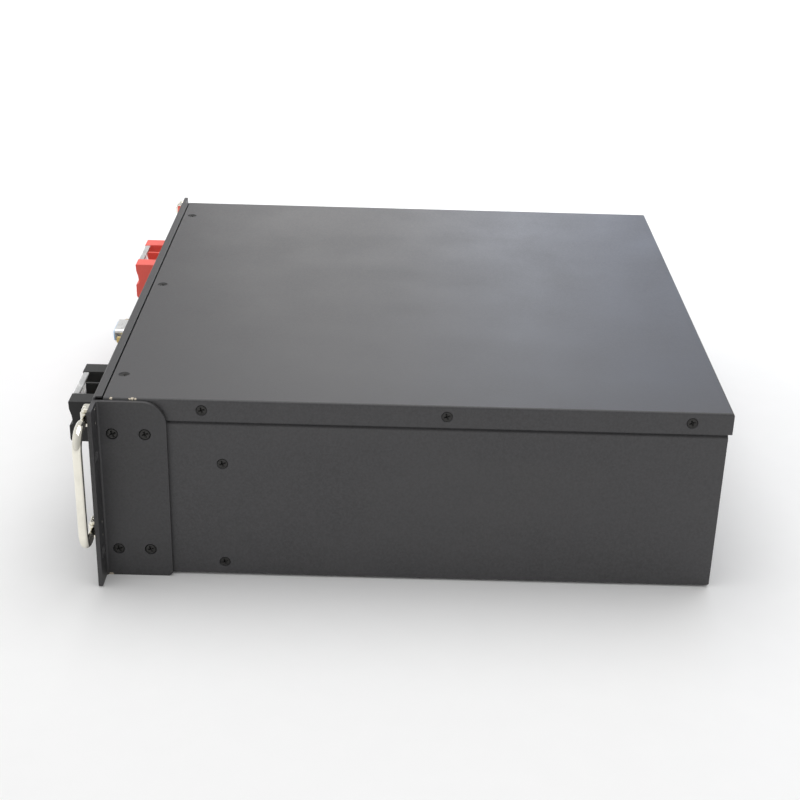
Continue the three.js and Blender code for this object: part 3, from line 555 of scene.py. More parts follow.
def add_screws():
    behind_tab = WALL_INSIDE - SHEET - GAP
    for side, sign in SIDES:
        add_side_screws(f"ear_screws_{side}", EAR_SCREWS, sign, EAR_OUTSIDE,
                        (behind_tab, 0, 32, 12, 116))
        add_side_screws(f"cover_screws_{side}", FLANGE_SCREWS, sign, SIDE,
                        (WALL_INSIDE, 58, 400, 121, 129))
        add_side_screws(f"partition_screws_{side}", PARTITION_SCREWS, sign, SIDE,
                        (behind_tab, 75, 82, 5, 92))
    low, high = box("cover_screws_front")
    strip = softened(block(low, (high.x, high.y, low.z + SHEET)), 0.2, 2)
    head = TOP - TOP_SINK
    screws = [moved(screw(head - low.z), (x, y, head)) for x, y in TOP_SCREWS]
    stand_in("cover_screws_front", gathered(screws + [strip]), BLACK_STEEL)


# ---- folded sheet metal ----
def folded_lid(side, front, rear, bottom, top, bend):
    """A block with bends along the sides and the rear of its top."""
    across = rectangle(-side, side, bottom, top, [0, 0, bend, bend])
    along = rectangle(front, rear, bottom, top, [0, 0, bend, 0])
    return common(prism(across, "y", front, COVER_HIGH.y), prism(along, "x", -SIDE - 1, SIDE + 1))


def add_top_cover():
    low, high = COVER_LOW, COVER_HIGH
    across, rear, spare = SIDE - SHEET, high.y - SHEET, 9
    outside = folded_lid(SIDE, low.y, high.y, low.z, TOP, BEND)
    inside = folded_lid(across, low.y - spare, rear, low.z - spare, TOP - SHEET, BEND - SHEET)
    slits = mirrored_pair((across - 0.5, rear - 0.4, low.z - 1), (across, high.y + 1, TOP - 2.2))
    sinks = side_countersinks(FLANGE_SCREWS)
    sinks += [moved(countersink(), (x, y, TOP)) for x, y in TOP_SCREWS]
    shape = softened(cut(outside, inside, *slits, *sinks), EDGE)
    stand_in("top_cover", shape, COVER_COAT)


SHOULDER = BASE + 114.8     # where the tray's side steps in to pass under the cover


def tray_section(inset, top, corner):
    """The tray seen from the front, moved in by an inset all round."""
    step = SHEET + GAP
    right = [
        (SIDE - inset, BASE + inset),
        (SIDE - inset, SHOULDER - inset * 0.4),
        (SIDE - step - inset, SHOULDER + SHEET - inset * 0.4),
        (SIDE - step - inset, top)]
    left = [(-u, v) for u, v in reversed(right)]
    return rounded(right + left, [corner, 0.9, 0.9, 0, 0, 0.9, 0.9, corner])


def add_chassis_tray():
    low, high = TRAY_LOW, TRAY_HIGH
    profile = rectangle(low.y - 1, high.y, low.z, high.z, [0, BEND, 0, 0])
    outside = common(
        prism(tray_section(0, high.z, BEND), "y", low.y, high.y),
        prism(profile, "x", -SIDE - 1, SIDE + 1))
    inside = prism(tray_section(SHEET, high.z + 5, BEND - SHEET), "y", low.y - 5, high.y - SHEET)
    crossbar = block((4 - SIDE, FRONT + 1, high.z - SHEET), (SIDE - 4, FRONT + 15, high.z))
    seams = mirrored_pair(
        (SIDE - SHEET - 0.35, high.y - 0.5, low.z + 2.5), (SIDE - SHEET, high.y + 1, SHOULDER - 1))
    holes = [
        rod("x", (sign * SIDE - 6, y, z), 12, SCREW_HOLE, 20)
        for _, sign in SIDES for y, z in EAR_SCREWS + FLANGE_SCREWS]
    holes += [rod("z", (x, y, high.z - 5), 9, SCREW_HOLE, 20) for x, y in TOP_SCREWS]
    shape = joined(cut(outside, inside, *seams), crossbar)
    shape = softened(cut(shape, *side_countersinks(PARTITION_SCREWS), *holes), EDGE)
    stand_in("chassis_tray", shape, COVER_COAT)


def panel_holes():
    """Tools for every opening in the front panel, a little larger than what passes through."""
    y0, y1 = PANEL_FRONT - 1, PANEL_FRONT + SHEET + 1
    port = centre("comm_port_insert")
    across, up = 13, 5.7    # half the port's opening
    lights = front_outline(*box("status_light_bar"), LENS_RIM - GAP, 3)

    def bore(node, radius, sides=32):
        place = centre(node)
        return rod("y", (place.x, y0, place.z), y1 - y0, radius, sides)

    return [
        prism(rectangle(port.x - across, port.x + across, port.z - up, port.z + up, 0.8), "y", y0, y1),
        prism(lights, "y", y0, y1),
        bore("power_switch_bezel", 9.3),
        bore("reset_button", 3.0),
        *[bore(node, 6.8) for node in BOLTS],
        *[bore(f"comm_jackscrew_{side}", 1.8, 16) for side in ("left", "right")],
    ]


def add_front_panel():
    low, high = PANEL_LOW, PANEL_HIGH
    lip_rear = FRONT - 1
    upright = rectangle(low.y, lip_rear, low.z, high.z, [BEND, 0, 0, BEND])
    plan = rectangle(low.x, high.x, low.y, lip_rear, [BEND, BEND, 0, 0])
    outside = common(prism(upright, "x", low.x, high.x), prism(plan, "z", low.z, high.z))
    sheet = Vector((SHEET, SHEET, SHEET))
    inside = block(low + sheet, (high.x - SHEET, lip_rear + 2, high.z - SHEET))
    notches = mirrored_pair(
        (high.x - 2, low.y + SHEET + 0.6, high.z - SHEET - 1), (high.x + 1, lip_rear + 1, high.z + 1))
    shape = cut(outside, inside, *notches, *panel_holes())
    tabs = mirrored_pair(
        (WALL_INSIDE - SHEET, low.y + 0.7, BASE + 8), (WALL_INSIDE, high.y, BASE + 120))
    shape = joined(shape, *tabs)
    bores = [
        rod("x", (sign * WALL_INSIDE - 4, EAR_SCREWS[0][0], z), 8, SCREW_HOLE, 16)
        for _, sign in SIDES for _, z in EAR_SCREWS[:2]]
    shape = softened(cut(shape, *bores), EDGE)
    stand_in("front_panel", shape, PANEL_COAT)


RACK_SLOT_X = 465.1 / 2
RACK_SLOTS_Z = (BASE + 21.85, BASE + 94.85)


def rack_slot(z, y0, y1):
    outline = rectangle(RACK_SLOT_X - 5.25, RACK_SLOT_X + 5.25, z - 3.5, z + 3.5, 3.4, 8)
    return prism(outline, "y", y0, y1)


def add_ear_bracket(side, sign):
    """A bent angle: a side plate screwed to the case and a flange for the rack's rail."""
    low, high = EAR_LOW, EAR_HIGH
    thick = EAR_THICKNESS
    plan = rounded(
        [(low.x, high.y), (low.x, low.y), (high.x, low.y), (high.x, low.y + thick),
         (low.x + thick, low.y + thick), (low.x + thick, high.y)], [0, 2.2, 0, 0, 1.6, 0])
    chamfer = 2.5
    from_side = rounded(
        [(low.y - 1, low.z - 1), (high.y - chamfer, low.z - 1), (high.y - chamfer, low.z),
         (high.y, low.z + chamfer), (high.y, high.z), (low.y - 1, high.z)],
        [0, 0, 0, 0, 16, 0], 12)
    from_front = rectangle(low.x - 5, high.x, low.z, high.z, 1.2)
    shape = common(
        prism(plan, "z", low.z, high.z),
        prism(from_side, "x", low.x - 1, high.x + 1),
        prism(from_front, "y", low.y - 1, high.y + 1))
    slots = [rack_slot(z, low.y - 1, low.y + thick + 1) for z in RACK_SLOTS_Z]
    sinks = [
        facing(countersink(thick, 0.45), (1, 0, 0), (EAR_OUTSIDE, y, z)) for y, z in EAR_SCREWS]
    rivets = [
        rod("y", (PIVOT_X, low.y - 1, z), thick + 2, RIVET + GAP, 20)
        for level in ("lower", "upper") for z in rivet_heights(f"handle_foot_{level}_right")]
    shape = softened(cut(shape, *slots, *sinks, *rivets), 0.3)
    stand_in(f"ear_bracket_{side}", sided(shape, sign), PANEL_COAT)


# ---- folding handles ----
TRUNNION_REACH = 5.0    # how far a trunnion stands above and below its leg's middle
TRUNNION = 1.1
FOOT_WEB = 2.5
FOOT_SLOT = 3.9
RIVET = 0.9
RIVET_Z = 5.1
BAIL_LOW, BAIL_HIGH = box("handle_bail_right")
BAIL_RADIUS = (BAIL_HIGH.y - BAIL_LOW.y) / 2
BAIL_BEND = 12          # radius of the rod's middle line in the grip's corners
PIVOT_X = BAIL_LOW.x + BAIL_RADIUS
PIVOT_Y = (BAIL_LOW.y + BAIL_HIGH.y) / 2
GRIP_X = BAIL_HIGH.x - BAIL_RADIUS
LEG_LOW = BAIL_LOW.z + TRUNNION_REACH
LEG_HIGH = BAIL_HIGH.z - TRUNNION_REACH


def bail_stations(spacing=1.0):
    """Points along the bail's middle line, with the direction and the distance from the pivot."""
    leg = GRIP_X - PIVOT_X - BAIL_BEND
    arc = BAIL_BEND * math.pi / 2
    half = leg + arc + (LEG_HIGH - LEG_LOW) / 2 - BAIL_BEND
    count = round(2 * half / spacing)
    stations = []
    for i in range(count + 1):
        along = 2 * half * i / count
        s = min(along, 2 * half - along)
        x, z, angle = leg + BAIL_BEND, s - leg - arc + BAIL_BEND, math.pi / 2
        if s <= leg:
            x, z, angle = s, 0, 0
        elif s < leg + arc:
            angle = (s - leg) / BAIL_BEND
            x = leg + BAIL_BEND * math.sin(angle)
            z = BAIL_BEND * (1 - math.cos(angle))
        height = LEG_LOW + z
        if along > half:
            height = LEG_HIGH - z
            angle = math.pi - angle
        stations.append((Vector((PIVOT_X + x, PIVOT_Y, height)), angle, s))
    return stations


def bail_radius(distance):
    """The rod is drawn down to a thin neck where it enters its foot."""
    neck = BAIL_RADIUS * 0.62
    t = min(max((distance - 7) / 8, 0), 1)
    return neck + (BAIL_RADIUS - neck) * t * t * (3 - 2 * t)


def knuckle(z):
    """The eye at a leg's end, with the trunnion pin through it."""
    reach, pin = TRUNNION_REACH, TRUNNION
    profile = [
        (0, -reach), (pin - 0.25, -reach), (pin, 0.25 - reach), (pin, -3.3), (2.6, -3.3), (3.2, -2.7),
        (3.2, 2.7), (2.6, 3.3), (pin, 3.3), (pin, reach - 0.25), (pin - 0.25, reach), (0, reach)]
    return turned(profile, "z", (PIVOT_X, PIVOT_Y, z), 40)


def bail_shape():
    rings = []
    for point, angle, distance in bail_stations():
        across = Vector((-math.sin(angle), 0, math.cos(angle)))
        section = circle(bail_radius(distance))
        rings.append([point + across * u + Vector((0, v, 0)) for u, v in section])
    return joined(skin(rings), knuckle(LEG_LOW), knuckle(LEG_HIGH))


def rivet_heights(node):
    middle = centre(node).z
    return (middle - RIVET_Z, middle + RIVET_Z)


def pin_ring(face, inward):
    """The tool for the shallow ring round the pin's riveted end in a cheek's face."""
    depth = 0.25
    start = face - depth if inward < 0 else face - 1
    height = depth + 1
    ring = rod("z", (PIVOT_X, PIVOT_Y, start), height, 1.55)
    return cut(ring, rod("z", (PIVOT_X, PIVOT_Y, start - 0.5), height + 1, 1.25))


def foot_shape(node):
    """A clevis: two cheeks on a web, with the pin's riveted end showing in each cheek."""
    low, high = box(node)
    middle = (low.z + high.z) / 2
    plan = rectangle(low.x, high.x, low.y, SEAT, [1.4, 2.0, 0.2, 0.2], 6)
    from_side = rectangle(low.y, SEAT, low.z, high.z, [1.2, 0.2, 0.2, 1.2], 6)
    body = common(prism(plan, "z", low.z, high.z), prism(from_side, "x", low.x, high.x))
    slot = block((low.x + FOOT_WEB, low.y - 1, middle - FOOT_SLOT),
                 (high.x + 1, SEAT + 1, middle + FOOT_SLOT))
    reach = TRUNNION_REACH + GAP
    bore = rod("z", (PIVOT_X, PIVOT_Y, middle - reach), 2 * reach, TRUNNION + GAP, 24)
    shape = softened(cut(body, slot, bore), 0.3)
    shape = cut(shape, pin_ring(low.z, 1), pin_ring(high.z, -1))
    rivets = [
        rod("y", (PIVOT_X, SEAT - 0.4, z), high.y - SEAT + 0.4, RIVET, 20)
        for z in rivet_heights(node)]
    return joined(shape, *rivets)


def add_handles():
    for side, sign in SIDES:
        stand_in(f"handle_bail_{side}", sided(bail_shape(), sign), CHROME, f"handle_{side}")
        for level in ("lower", "upper"):
            shape = sided(foot_shape(f"handle_foot_{level}_right"), sign)
            stand_in(f"handle_foot_{level}_{side}", shape, CHROME)


# ---- power terminals ----
POLES = (("negative", BLACK_PLASTIC), ("positive", RED_PLASTIC))
BOLTS = [f"terminal_bolt_{pole}_{side}" for pole, _ in POLES for side in ("left", "right")]
BAYS = (-1, 1)
BAY_HALF = 9.2
BAY_OFFSET = 10.2
BLOCK_WALL = 6.0        # material behind each bay
BORE = 4.4
HINGE_IN = 2.2          # how far the flap's pin lies behind the block's front
HINGE_DOWN = 2.6        # and below its top


def block_outline(low, high):
    """The block's side view: a lip at the top, a waist for the fingers and a straight foot."""
    depth = SEAT - low.y
    height = high.z - low.z
    points = [
        (0, 0), (depth - 1, 0), (depth, 1.5), (depth, 12.1), (depth - 2.7, 13.8),
        (depth - 1.9, 19.9), (depth - 0.5, 24.7), (depth - 0.2, height), (0, height)]
    radii = [0.2, 0.5, 0.6, 0.8, 0.9, 0.9, 0.8, 0.6, 0.2]
    return rounded([(SEAT - out, low.z + up) for out, up in points], radii, 4)


def terminal_block_shape(node):
    low, high = box(node)
    middle = (low.x + high.x) / 2
    bolt_z = (low.z + high.z) / 2
    hinge_y, hinge_z, hinge_half = low.y + HINGE_IN, high.z - HINGE_DOWN, 22.4
    bay_x = [middle + bay * BAY_OFFSET for bay in BAYS]
    collars = [rod("y", (x, SEAT - 1, bolt_z), high.y - SEAT + 1, 6.5) for x in bay_x]
    body = joined(prism(block_outline(low, high), "x", low.x, high.x), *collars)
    tools = [
        block((middle - 1.6, low.y - 1, low.z - 1), (middle + 1.6, hinge_y + 4, high.z + 1)),
        rod("x", (middle - hinge_half, hinge_y, hinge_z), 2 * hinge_half, 1.6, 20),
    ]
    for x in bay_x:
        bay = rectangle(x - BAY_HALF, x + BAY_HALF, low.y - 5, SEAT - BLOCK_WALL, 0.8)
        tools.append(prism(bay, "z", low.z - 1, high.z + 1))
        tools.append(rod("y", (x, SEAT - 10, bolt_z), 30, BORE, 24))
        tools.append(rod("y", (x, SEAT - BLOCK_WALL - 1, bolt_z), 1.6, 8.7, 40))
    for x in (middle - 27, middle + 27):    # a fine groove across each cheek
        tools.append(block((x - 3.6, low.y - 1, low.z + 8.6), (x + 3.6, low.y + 1.2, low.z + 9.4)))
    return softened(cut(body, *tools), 0.35)


def flap_hinge(low, high):
    """The flap's pin, from the flap's own box: (y, z)."""
    return low.y + 1.8, high.z - 2.2


def terminal_cover_shape(node):
    """A clear flap with a lip along its top, on a round pin."""
    low, high = box(node)
    pin_reach, thick = 2.5, 1.6
    outline = rounded(
        [(low.y, low.z), (low.y + thick, low.z), (low.y + thick, high.z - thick),
         (high.y, high.z - thick), (high.y, high.z), (low.y, high.z)],
        [0.5, 0.5, 0.6, 0.6, 0.6, 1.4], 5)
    flap = prism(outline, "x", low.x + pin_reach, high.x - pin_reach)
    hinge_y, hinge_z = flap_hinge(low, high)
    pin = rod("x", (low.x, hinge_y, hinge_z), high.x - low.x, 1.25, 24)
    return softened(joined(flap, pin), 0.2, 2, 40)


def terminal_knuckles(node):
    """The two smoked hinge knuckles under the flap's lip, one in each bay."""
    low, high = box(node)
    middle = (low.x + high.x) / 2
    hinge_y, hinge_z = flap_hinge(low, high)
    length, radius = 12, 2.0
    profile = [(0, 0), (radius - 0.4, 0), (radius, 0.5), (radius, length - 0.5),
               (radius - 0.4, length), (0, length)]
    return gathered([
        turned(profile, "x", (middle + bay * BAY_OFFSET - length / 2, hinge_y + 0.25, hinge_z), 28)
        for bay in BAYS])


def bolt_shape(node):
    """A hexagon bolt with a flat washer and a split washer under its head."""
    low, high = box(node)
    place = centre(node)
    seat = SEAT - BLOCK_WALL - GAP
    corner, height, shank_radius, pitch = 7.5, 5.5, 4.0, 0.5
    crown = [(0, 0), (6.2, 0), (corner, 0.8), (corner, height), (0, height)]
    head = common(
        prism(circle(corner, 6), "y", low.y, low.y + height),
        turned(crown, "y", (0, low.y, 0), 48))
    dish = turned([(0, -1), (4.6, -1), (4.2, 0.35), (0, 0.35)], "y", (0, low.y, 0), 32)
    split = cut(
        turned([(0, 0), (6.2, 0), (6.4, 0.2), (6.4, 1.3), (0, 1.3)], "y", (0, low.y + 5.4, 0), 40),
        block((-0.4, low.y + 5, 3), (0.4, low.y + 7, 8)))
    washer = turned(
        [(0, 0), (7.7, 0), (8.0, 0.25), (8.0, 1.2), (0, 1.2)], "y", (0, seat - 1.25, 0), 48)
    turns = int((high.y - seat) / pitch)
    thread = [(shank_radius - 0.3 * (i % 2), i * pitch) for i in range(turns)]
    profile = [(0, -1), (shank_radius, -1)] + thread + [(0, turns * pitch)]
    shank = turned(profile, "y", (0, seat, 0), 28)
    shape = gathered([softened(cut(head, dish), 0.15, 2, 20), split, washer, shank])
    return moved(shape, (place.x, 0, place.z))


def add_terminals():
    for pole, finish in POLES:
        node = f"terminal_block_{pole}"
        stand_in(node, terminal_block_shape(node), finish)
        flap = f"terminal_cover_{pole}"
        stand_in(flap, terminal_cover_shape(flap), CLEAR_PLASTIC, flap)
        piece(flap + "_knuckles", terminal_knuckles(flap), SMOKED_PLASTIC, body=flap)
    for node in BOLTS:
        stand_in(node, bolt_shape(node), BRASS)


# ---- data port ----
PORT_FLANGE = 1.2
PORT_SHEET = 0.8
PORT_WALL = 1.2         # from the insert's outline to the shell's


def d_outline(width, height, radius):
    lean = height * 0.18
    return rounded(
        [(lean - width / 2, -height / 2), (width / 2 - lean, -height / 2),
         (width / 2, height / 2), (-width / 2, height / 2)], radius, 5)


def port_shell(width, height):
    """The plated shell with its drawn-up foot on a flange."""
    low, high = box("comm_port_shell")
    place = centre("comm_port_shell")
    screw_x = centre("comm_jackscrew_right").x - place.x
    flange_front = SEAT - PORT_FLANGE
    offset = Vector((place.x, 0, place.z))
    outer = prism(d_outline(width, height, 2.2), "y", low.y, high.y)
    plate = front_outline(low - offset, high - offset, 0, 2.5, 6)
    flange = prism(plate, "y", flange_front, SEAT)
    sheets = 2 * PORT_SHEET
    foot = prism(d_outline(width + sheets, height + sheets, 3.0),
                 "y", flange_front - 1, flange_front + 0.1)
    inner = prism(d_outline(width - sheets, height - sheets, 1.6), "y", low.y - 1, high.y + 1)
    holes = [rod("y", (x, flange_front - 3, 0), 8, 1.8, 20) for x in (-screw_x, screw_x)]
    return moved(softened(cut(joined(outer, flange, foot), inner, *holes), 0.25), offset)


def port_insert(low, high, width, height):
    """The blue moulding in the shell, with three rows of contact holes."""
    body = softened(prism(d_outline(width, height, 1.4), "y", low.y, high.y), 0.3)
    column_pitch, row_pitch, stagger = 2.9, 2.1, 0.7
    contacts = [
        rod("y", (column * column_pitch + (stagger if row == 0 else 0), low.y - 1, row * row_pitch),
            5, 0.5, 16)
        for row in (-1, 0, 1) for column in range(-2, 3)]
    return cut(body, *contacts)


def jackscrew_shape(low, high):
    """A hexagonal standoff with a threaded bore and a threaded tail."""
    seat = SEAT - PORT_FLANGE - GAP
    length = seat - low.y
    radius = 2.6
    hexagon = prism(circle(radius, 6), "y", low.y, seat)
    chamfered = turned(
        [(0, 0), (radius - 0.5, 0), (radius, 0.5), (radius, length), (0, length)],
        "y", (0, low.y, 0), 40)
    tail = rod("y", (0, seat - 0.5, 0), high.y - seat + 0.5, 1.5, 20)
    bore = rod("y", (0, low.y - 1, 0), 5, 1.2, 20)
    return softened(cut(joined(common(hexagon, chamfered), tail), bore), 0.15, 2)


def add_data_port():
    low, high = box("comm_port_insert")
    width, height = high.x - low.x, high.z - low.z
    walls = 2 * PORT_WALL
    stand_in("comm_port_shell", port_shell(width + walls, height + walls), ZINC_STEEL)
    place = centre("comm_port_shell")
    insert = moved(port_insert(low, high, width, height), (place.x, 0, place.z))
    stand_in("comm_port_insert", insert, BLUE_PLASTIC)
    for side in ("left", "right"):
        node = f"comm_jackscrew_{side}"
        at = centre(node)
        stand_in(node, moved(jackscrew_shape(*box(node)), (at.x, 0, at.z)), BRASS)


# ---- front controls ----
LENS_RIM = 2.5          # how far the light bar's hidden flange reaches past its lens


def light_bar_shape():
    """A milky lens with fine grooves between its lights, on a flange behind the panel."""
    low, high = box("status_light_bar")
    x0, x1 = low.x + LENS_RIM, high.x - LENS_RIM
    z0, z1 = low.z + LENS_RIM, high.z - LENS_RIM
    lights = 6
    lens = prism(front_outline(low, high, LENS_RIM, 2.8, 8), "y", low.y, high.y - 0.5)
    grooves = [
        block((x - 0.25, low.y - 1, z0 - 1), (x + 0.25, low.y + 0.25, z1 + 1))
        for x in (x0 + (x1 - x0) * i / lights for i in range(1, lights))]
    flange = prism(
        front_outline(low, high, 0, 3, 6), "y", PANEL_FRONT + SHEET + GAP, high.y)
    return softened(joined(cut(lens, *grooves), flange), 0.18)


def switch_bezel_shape():
    """A turned ring with a threaded barrel behind it."""
    low, high = box("power_switch_bezel")
    place = centre("power_switch_bezel")
    radius = (high.x - low.x) / 2
    thread = [(radius - 2 - 0.35 * (i % 2), SEAT + 2 + i * 0.6) for i in range(26)]
    profile = [
        (0, low.y + 0.5), (7.0, low.y + 0.5), (7.6, low.y), (radius - 1.2, low.y),
        (radius - 0.3, low.y + 0.6), (radius, SEAT - 0.2), (radius - 0.2, SEAT), (radius - 2, SEAT)]
    solid_ring = turned(profile + thread + [(0, high.y)], "y", (place.x, 0, place.z), 64)
    bore = rod("y", (place.x, low.y - 1, place.z), 14.4, 7.0, 64)
    return softened(cut(solid_ring, bore), 0.15, 2, 50)


def power_button_shape():
    """A dished steel button with a ring groove."""
    low, high = box("power_button")
    place = centre("power_button")
    radius = (high.x - low.x) / 2
    length = high.y - low.y
    profile = [
        (0, 0.5), (2.5, 0.42), (4.3, 0.15), (radius - 1.1, 0), (radius - 0.5, 0.1), (radius, 0.6),
        (radius, length), (0, length)]
    button = turned(profile, "y", (place.x, low.y, place.z), 64)
    ring = cut(rod("y", (place.x, low.y - 1, place.z), 1.45, 4.9, 64),
               rod("y", (place.x, low.y - 2, place.z), 4, 4.3, 64))
    return cut(button, ring)


def reset_button_shape():
    low, high = box("reset_button")
    place = centre("reset_button")
    radius = (high.x - low.x) / 2
    length = high.y - low.y
    profile = [
        (0, 0), (radius * 0.5, 0.08), (radius * 0.85, 0.3), (radius, 0.75), (radius, length),
        (0, length)]
    return turned(profile, "y", (place.x, low.y, place.z), 40)


def add_controls():
    stand_in("status_light_bar", light_bar_shape(), FROSTED_PLASTIC)
    stand_in("power_switch_bezel", switch_bezel_shape(), ZINC_STEEL)
    stand_in("power_button", power_button_shape(), ZINC_STEEL, "power_button")
    stand_in("reset_button", reset_button_shape(), BLACK_PLASTIC, "reset_button")


# ---- inside the case ----
CELL_COLUMNS = 8
CELL_TERMINAL = 3.0     # height of a cell's terminals
CELL_INSET = 20.0       # from a cell's end to its terminal's middle
LINK_HALF = 9.0
CARRIER_PLATE = 1.2


CELLS = [f"cell_{number:02d}" for number in range(1, 2 * CELL_COLUMNS + 1)]


def cell_can(node):
    """A prismatic can in film, with a pressed vent and a sealed filling hole in its lid."""
    low, high = box(node)
    middle = (low + high) / 2
    lid = high.z - CELL_TERMINAL
    can = softened(prism(rectangle(low.x, high.x, low.y, high.y, 2.5), "z", low.z, lid), 0.8, 2)
    groove = cut(
        prism(rectangle(-9, 9, -16, 16, 8, 8), "z", lid - 0.4, lid + 1),
        prism(rectangle(-8, 8, -15, 15, 7, 8), "z", lid - 1, lid + 2))
    plug = rod("z", (0, 34, lid - 0.4), 1.4, 3.0, 24)
    return cut(can, *[moved(tool, (middle.x, middle.y, 0)) for tool in (groove, plug)])


def terminal_places(node):
    """The middles of a cell's front and rear terminals."""
    low, high = box(node)
    x = (low.x + high.x) / 2
    return (x, low.y + CELL_INSET), (x, high.y - CELL_INSET)


def cell_terminals(node):
    """The two stepped terminals on a cell's lid, each with a welding recess."""
    lid = box(node)[1].z - CELL_TERMINAL
    profile = [
        (0, -0.2), (8, -0.2), (8, CELL_TERMINAL - 0.4), (7.6, CELL_TERMINAL), (3.2, CELL_TERMINAL),
        (2.8, CELL_TERMINAL - 0.8), (0, CELL_TERMINAL - 0.8)]
    return [turned(profile, "z", (x, y, lid), 40) for x, y in terminal_places(node)]


def link_ends():
    """The pairs of terminals that the links join, down one column and up the next."""
    front_row, rear_row = [
        [terminal_places(node) for node in row]
        for row in (CELLS[:CELL_COLUMNS], CELLS[CELL_COLUMNS:])]
    for column in range(CELL_COLUMNS):
        yield front_row[column][1], rear_row[column][0]
        if column + 1 < CELL_COLUMNS:
            row, end = (rear_row, 1) if column % 2 == 0 else (front_row, 0)
            yield row[column][end], row[column + 1][end]


def link_carrier_plate():
    """The moulded plate over the cells, notched where the busbars reach the first terminals."""
    low, high = box("cell_link_carrier")
    first_x, first_y = terminal_places(CELLS[0])[0]
    notch_x, notch_y = first_x - 14, first_y + 14
    corners = [
        (-notch_x, low.y), (notch_x, low.y), (notch_x, notch_y), (high.x, notch_y),
        (high.x, high.y), (low.x, high.y), (low.x, notch_y), (-notch_x, notch_y)]
    return softened(prism(rounded(corners, 1.5), "z", low.z, low.z + CARRIER_PLATE), 0.2, 2)


def link_shape(first, second, bottom, top):
    """A flat link with rounded corners and a raised middle that takes up movement."""
    x0, x1 = sorted((first[0], second[0]))
    y0, y1 = sorted((first[1], second[1]))
    half = LINK_HALF
    flat = prism(rectangle(x0 - half, x1 + half, y0 - half, y1 + half, 3, 6), "z", bottom, top - 0.6)
    middle = Vector(((x0 + x1) / 2, (y0 + y1) / 2))
    reach = Vector((2.5, half - 1)) if x1 > x0 else Vector((half - 1, 2.5))
    hump = prism(
        rectangle(middle.x - reach.x, middle.x + reach.x, middle.y - reach.y, middle.y + reach.y, 2),
        "z", bottom + 0.5, top)
    return softened(joined(flat, hump), 0.25, 2)


def add_cells():
    for node in CELLS:
        piece(node + "_can", cell_can(node), CELL_FILM, node)
    terminals = gathered([shape for node in CELLS for shape in cell_terminals(node)])
    piece("cell_terminals", terminals, ALUMINIUM)
    piece("cell_link_carrier_plate", link_carrier_plate(), BLACK_PLASTIC, "cell_link_carrier")
    low, high = box("cell_link_carrier")
    bottom = low.z + CARRIER_PLATE
    links = gathered([link_shape(*ends, bottom, high.z) for ends in link_ends()])
    piece("cell_links", links, ALUMINIUM)


def add_management_board():
    """The board with its switching transistors, capacitors, connectors and processor."""
    low, high = box("bms_board")
    front = high.y - 2
    board = softened(block((low.x, front, low.z), high), 0.15, 2)
    stand_in("bms_board", board, CIRCUIT_BOARD)
    row, processor = BASE + 20, BASE + 30
    packages = [
        softened(block((x, front - 4, row), (x + 14, front + 0.1, row + 16)), 0.4)
        for x in range(-20, 112, 22)]
    chip = block((-60, front - 2.5, processor), (-46, front + 0.1, processor + 14))
    packages.append(softened(chip, 0.2))
    for z in (BASE + 60, BASE + 84):
        shell = block((-64, front - 8, z), (-34, front + 0.1, z + 12))
        mouth = block((-62.5, front - 9, z + 1.5), (-35.5, front - 1.5, z + 10.5))
        packages.append(softened(cut(shell, mouth), 0.25, 2))
    piece("bms_board_packages", gathered(packages), BLACK_PLASTIC)
    sleeve = [(0, 0), (5.2, 0), (6, 0.6), (6, 11), (5.7, 11.6), (6, 12.2), (6, 14.1), (0, 14.1)]
    capacitors = [turned(sleeve, "y", (x, front - 14, BASE + 56), 40) for x in range(10, 74, 16)]
    piece("bms_board_capacitors", gathered(capacitors), ALUMINIUM)


def keep_node(node, finish, width):
    """Gives a CAD node that stays its material and small rounds on its edges."""
    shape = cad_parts[node]
    shape.data.materials.clear()
    shape.data.materials.append(finish)
    modify(shape, "weld", "WELD", merge_threshold=0.00001)
    modify(shape, "edges", "BEVEL", width=width * MM, segments=2, limit_method="ANGLE",
           angle_limit=math.radians(40))
    modify(shape, "normals", "WEIGHTED_NORMAL", keep_sharp=False)


def add_inner_parts():
    add_cells()
    add_management_board()
    keep_node("partition_plate", ZINC_STEEL, 0.25)
    keep_node("bms_heat_sink", ALUMINIUM, 0.3)
    keep_node("front_board", CIRCUIT_BOARD, 0.15)
    for side, _ in SIDES:
        keep_node(f"cell_end_plate_{side}", ALUMINIUM, 0.4)
    for node in ("main_busbar_positive", "battery_busbar_negative", "output_busbar_negative"):
        keep_node(node, COPPER, 0.4)


add_screws()
add_top_cover()
add_chassis_tray()
add_front_panel()
for side, sign in SIDES:
    add_ear_bracket(side, sign)
add_handles()
add_terminals()
add_data_port()
add_controls()
add_inner_parts()


# ---- stage, light and camera ----
def add_floor():
    bpy.ops.mesh.primitive_plane_add(size=40)
    floor = bpy.context.object
    floor.name = "floor"
    surface = Finish("floor")
    speckle = surface.noise(40.0, 2.0)
    surface.set(Base_Color=surface.mix(speckle, grey(0.9), grey(0.92)), Roughness=0.9)
    floor.data.materials.append(surface.material)


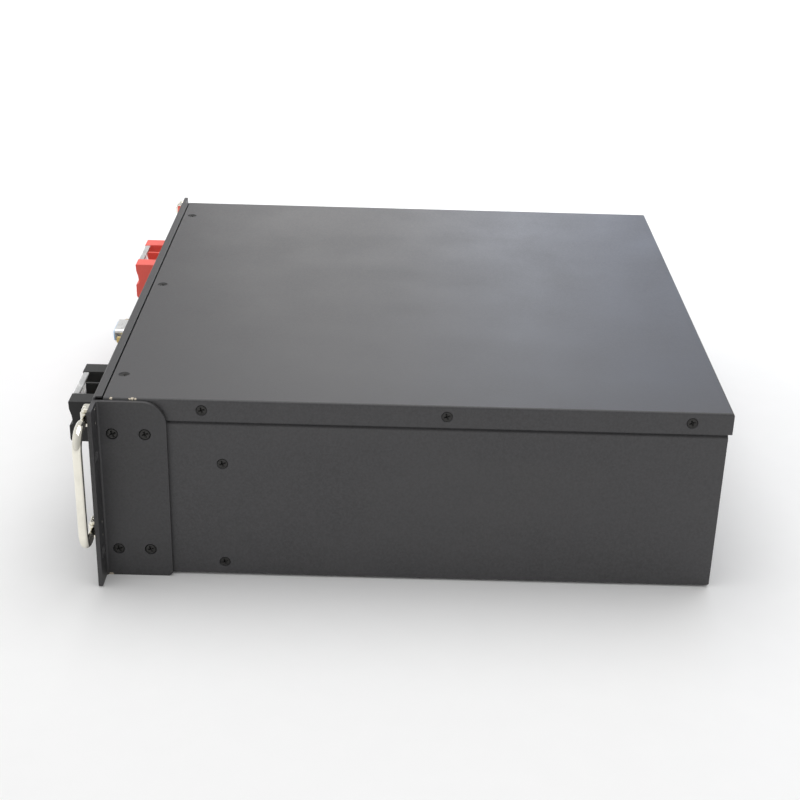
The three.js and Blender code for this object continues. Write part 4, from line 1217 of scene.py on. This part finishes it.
def add_light(name, place, target, size, power, tone=(1, 1, 1)):
    light = bpy.data.lights.new(name, "AREA")
    light.shape = "RECTANGLE"
    light.size, light.size_y = size
    light.energy = power
    light.color = tone
    lamp = bpy.data.objects.new(name, light)
    scene.collection.objects.link(lamp)
    lamp.location = place
    lamp.rotation_euler = (Vector(target) - Vector(place)).to_track_quat("-Z", "Y").to_euler()
    lamp.visible_camera = False


def add_world():
    """Even white light, stronger from the pack's front than from behind it."""
    world = bpy.data.worlds.new("studio")
    scene.world = world
    n = Nodes(world)
    direction = n.add("ShaderNodeTexCoord").outputs["Generated"]
    parts = n.add("ShaderNodeSeparateXYZ", {"Vector": direction})
    background = n.tree.nodes["Background"]
    n.feed((1.0, 1.0, 1.0, 1.0), background.inputs["Color"])
    n.feed(n.ramp(parts.outputs["Y"], -1.0, 1.0, 0.84, 0.4), background.inputs["Strength"])


def add_lights():
    for name, y, power, tone in (
            ("front", 0.02, 2.6, (1.0, 0.99, 0.98)), ("rear", 0.5, 2.7, (0.6, 0.72, 1.0))):
        place = (-1.7, y, 0.54)
        add_light(f"{name}_back_softbox", place, (0, 0.1, 0.1), (0.75, 0.52), power, tone)
    add_light("top_softbox", (-0.35, 0.1, 1.9), (0, 0, 0), (2.0, 2.0), 25)
    add_light("backdrop_softbox", (-2.2, 0.1, 1.4), (-3.2, 0.1, 0), (4.0, 2.0), 60)


def add_camera():
    """The photograph's viewpoint: from the pack's right side, a little above, rolled slightly."""
    camera = bpy.data.cameras.new("camera")
    view = bpy.data.objects.new("camera", camera)
    scene.collection.objects.link(view)
    camera.sensor_width = 36
    camera.lens = 68.61
    camera.shift_y = 0.075
    azimuth, elevation, roll = 89.658, 26.378, 1.651
    behind_front, below_base, distance = 0.199444, 0.017063, 1.276521
    target = Vector((0, FRONT * MM + behind_front, BASE * MM - below_base))
    turn = Matrix.Identity(4)
    for angle, axis in ((azimuth, "Z"), (90 - elevation, "X"), (roll, "Z")):
        turn = turn @ Matrix.Rotation(math.radians(angle), 4, axis)
    away = Matrix.Translation((0, 0, distance))
    view.matrix_world = Matrix.Translation(target) @ turn @ away
    scene.camera = view


add_floor()
add_world()
add_lights()
add_camera()
scene.view_settings.view_transform = "Standard"
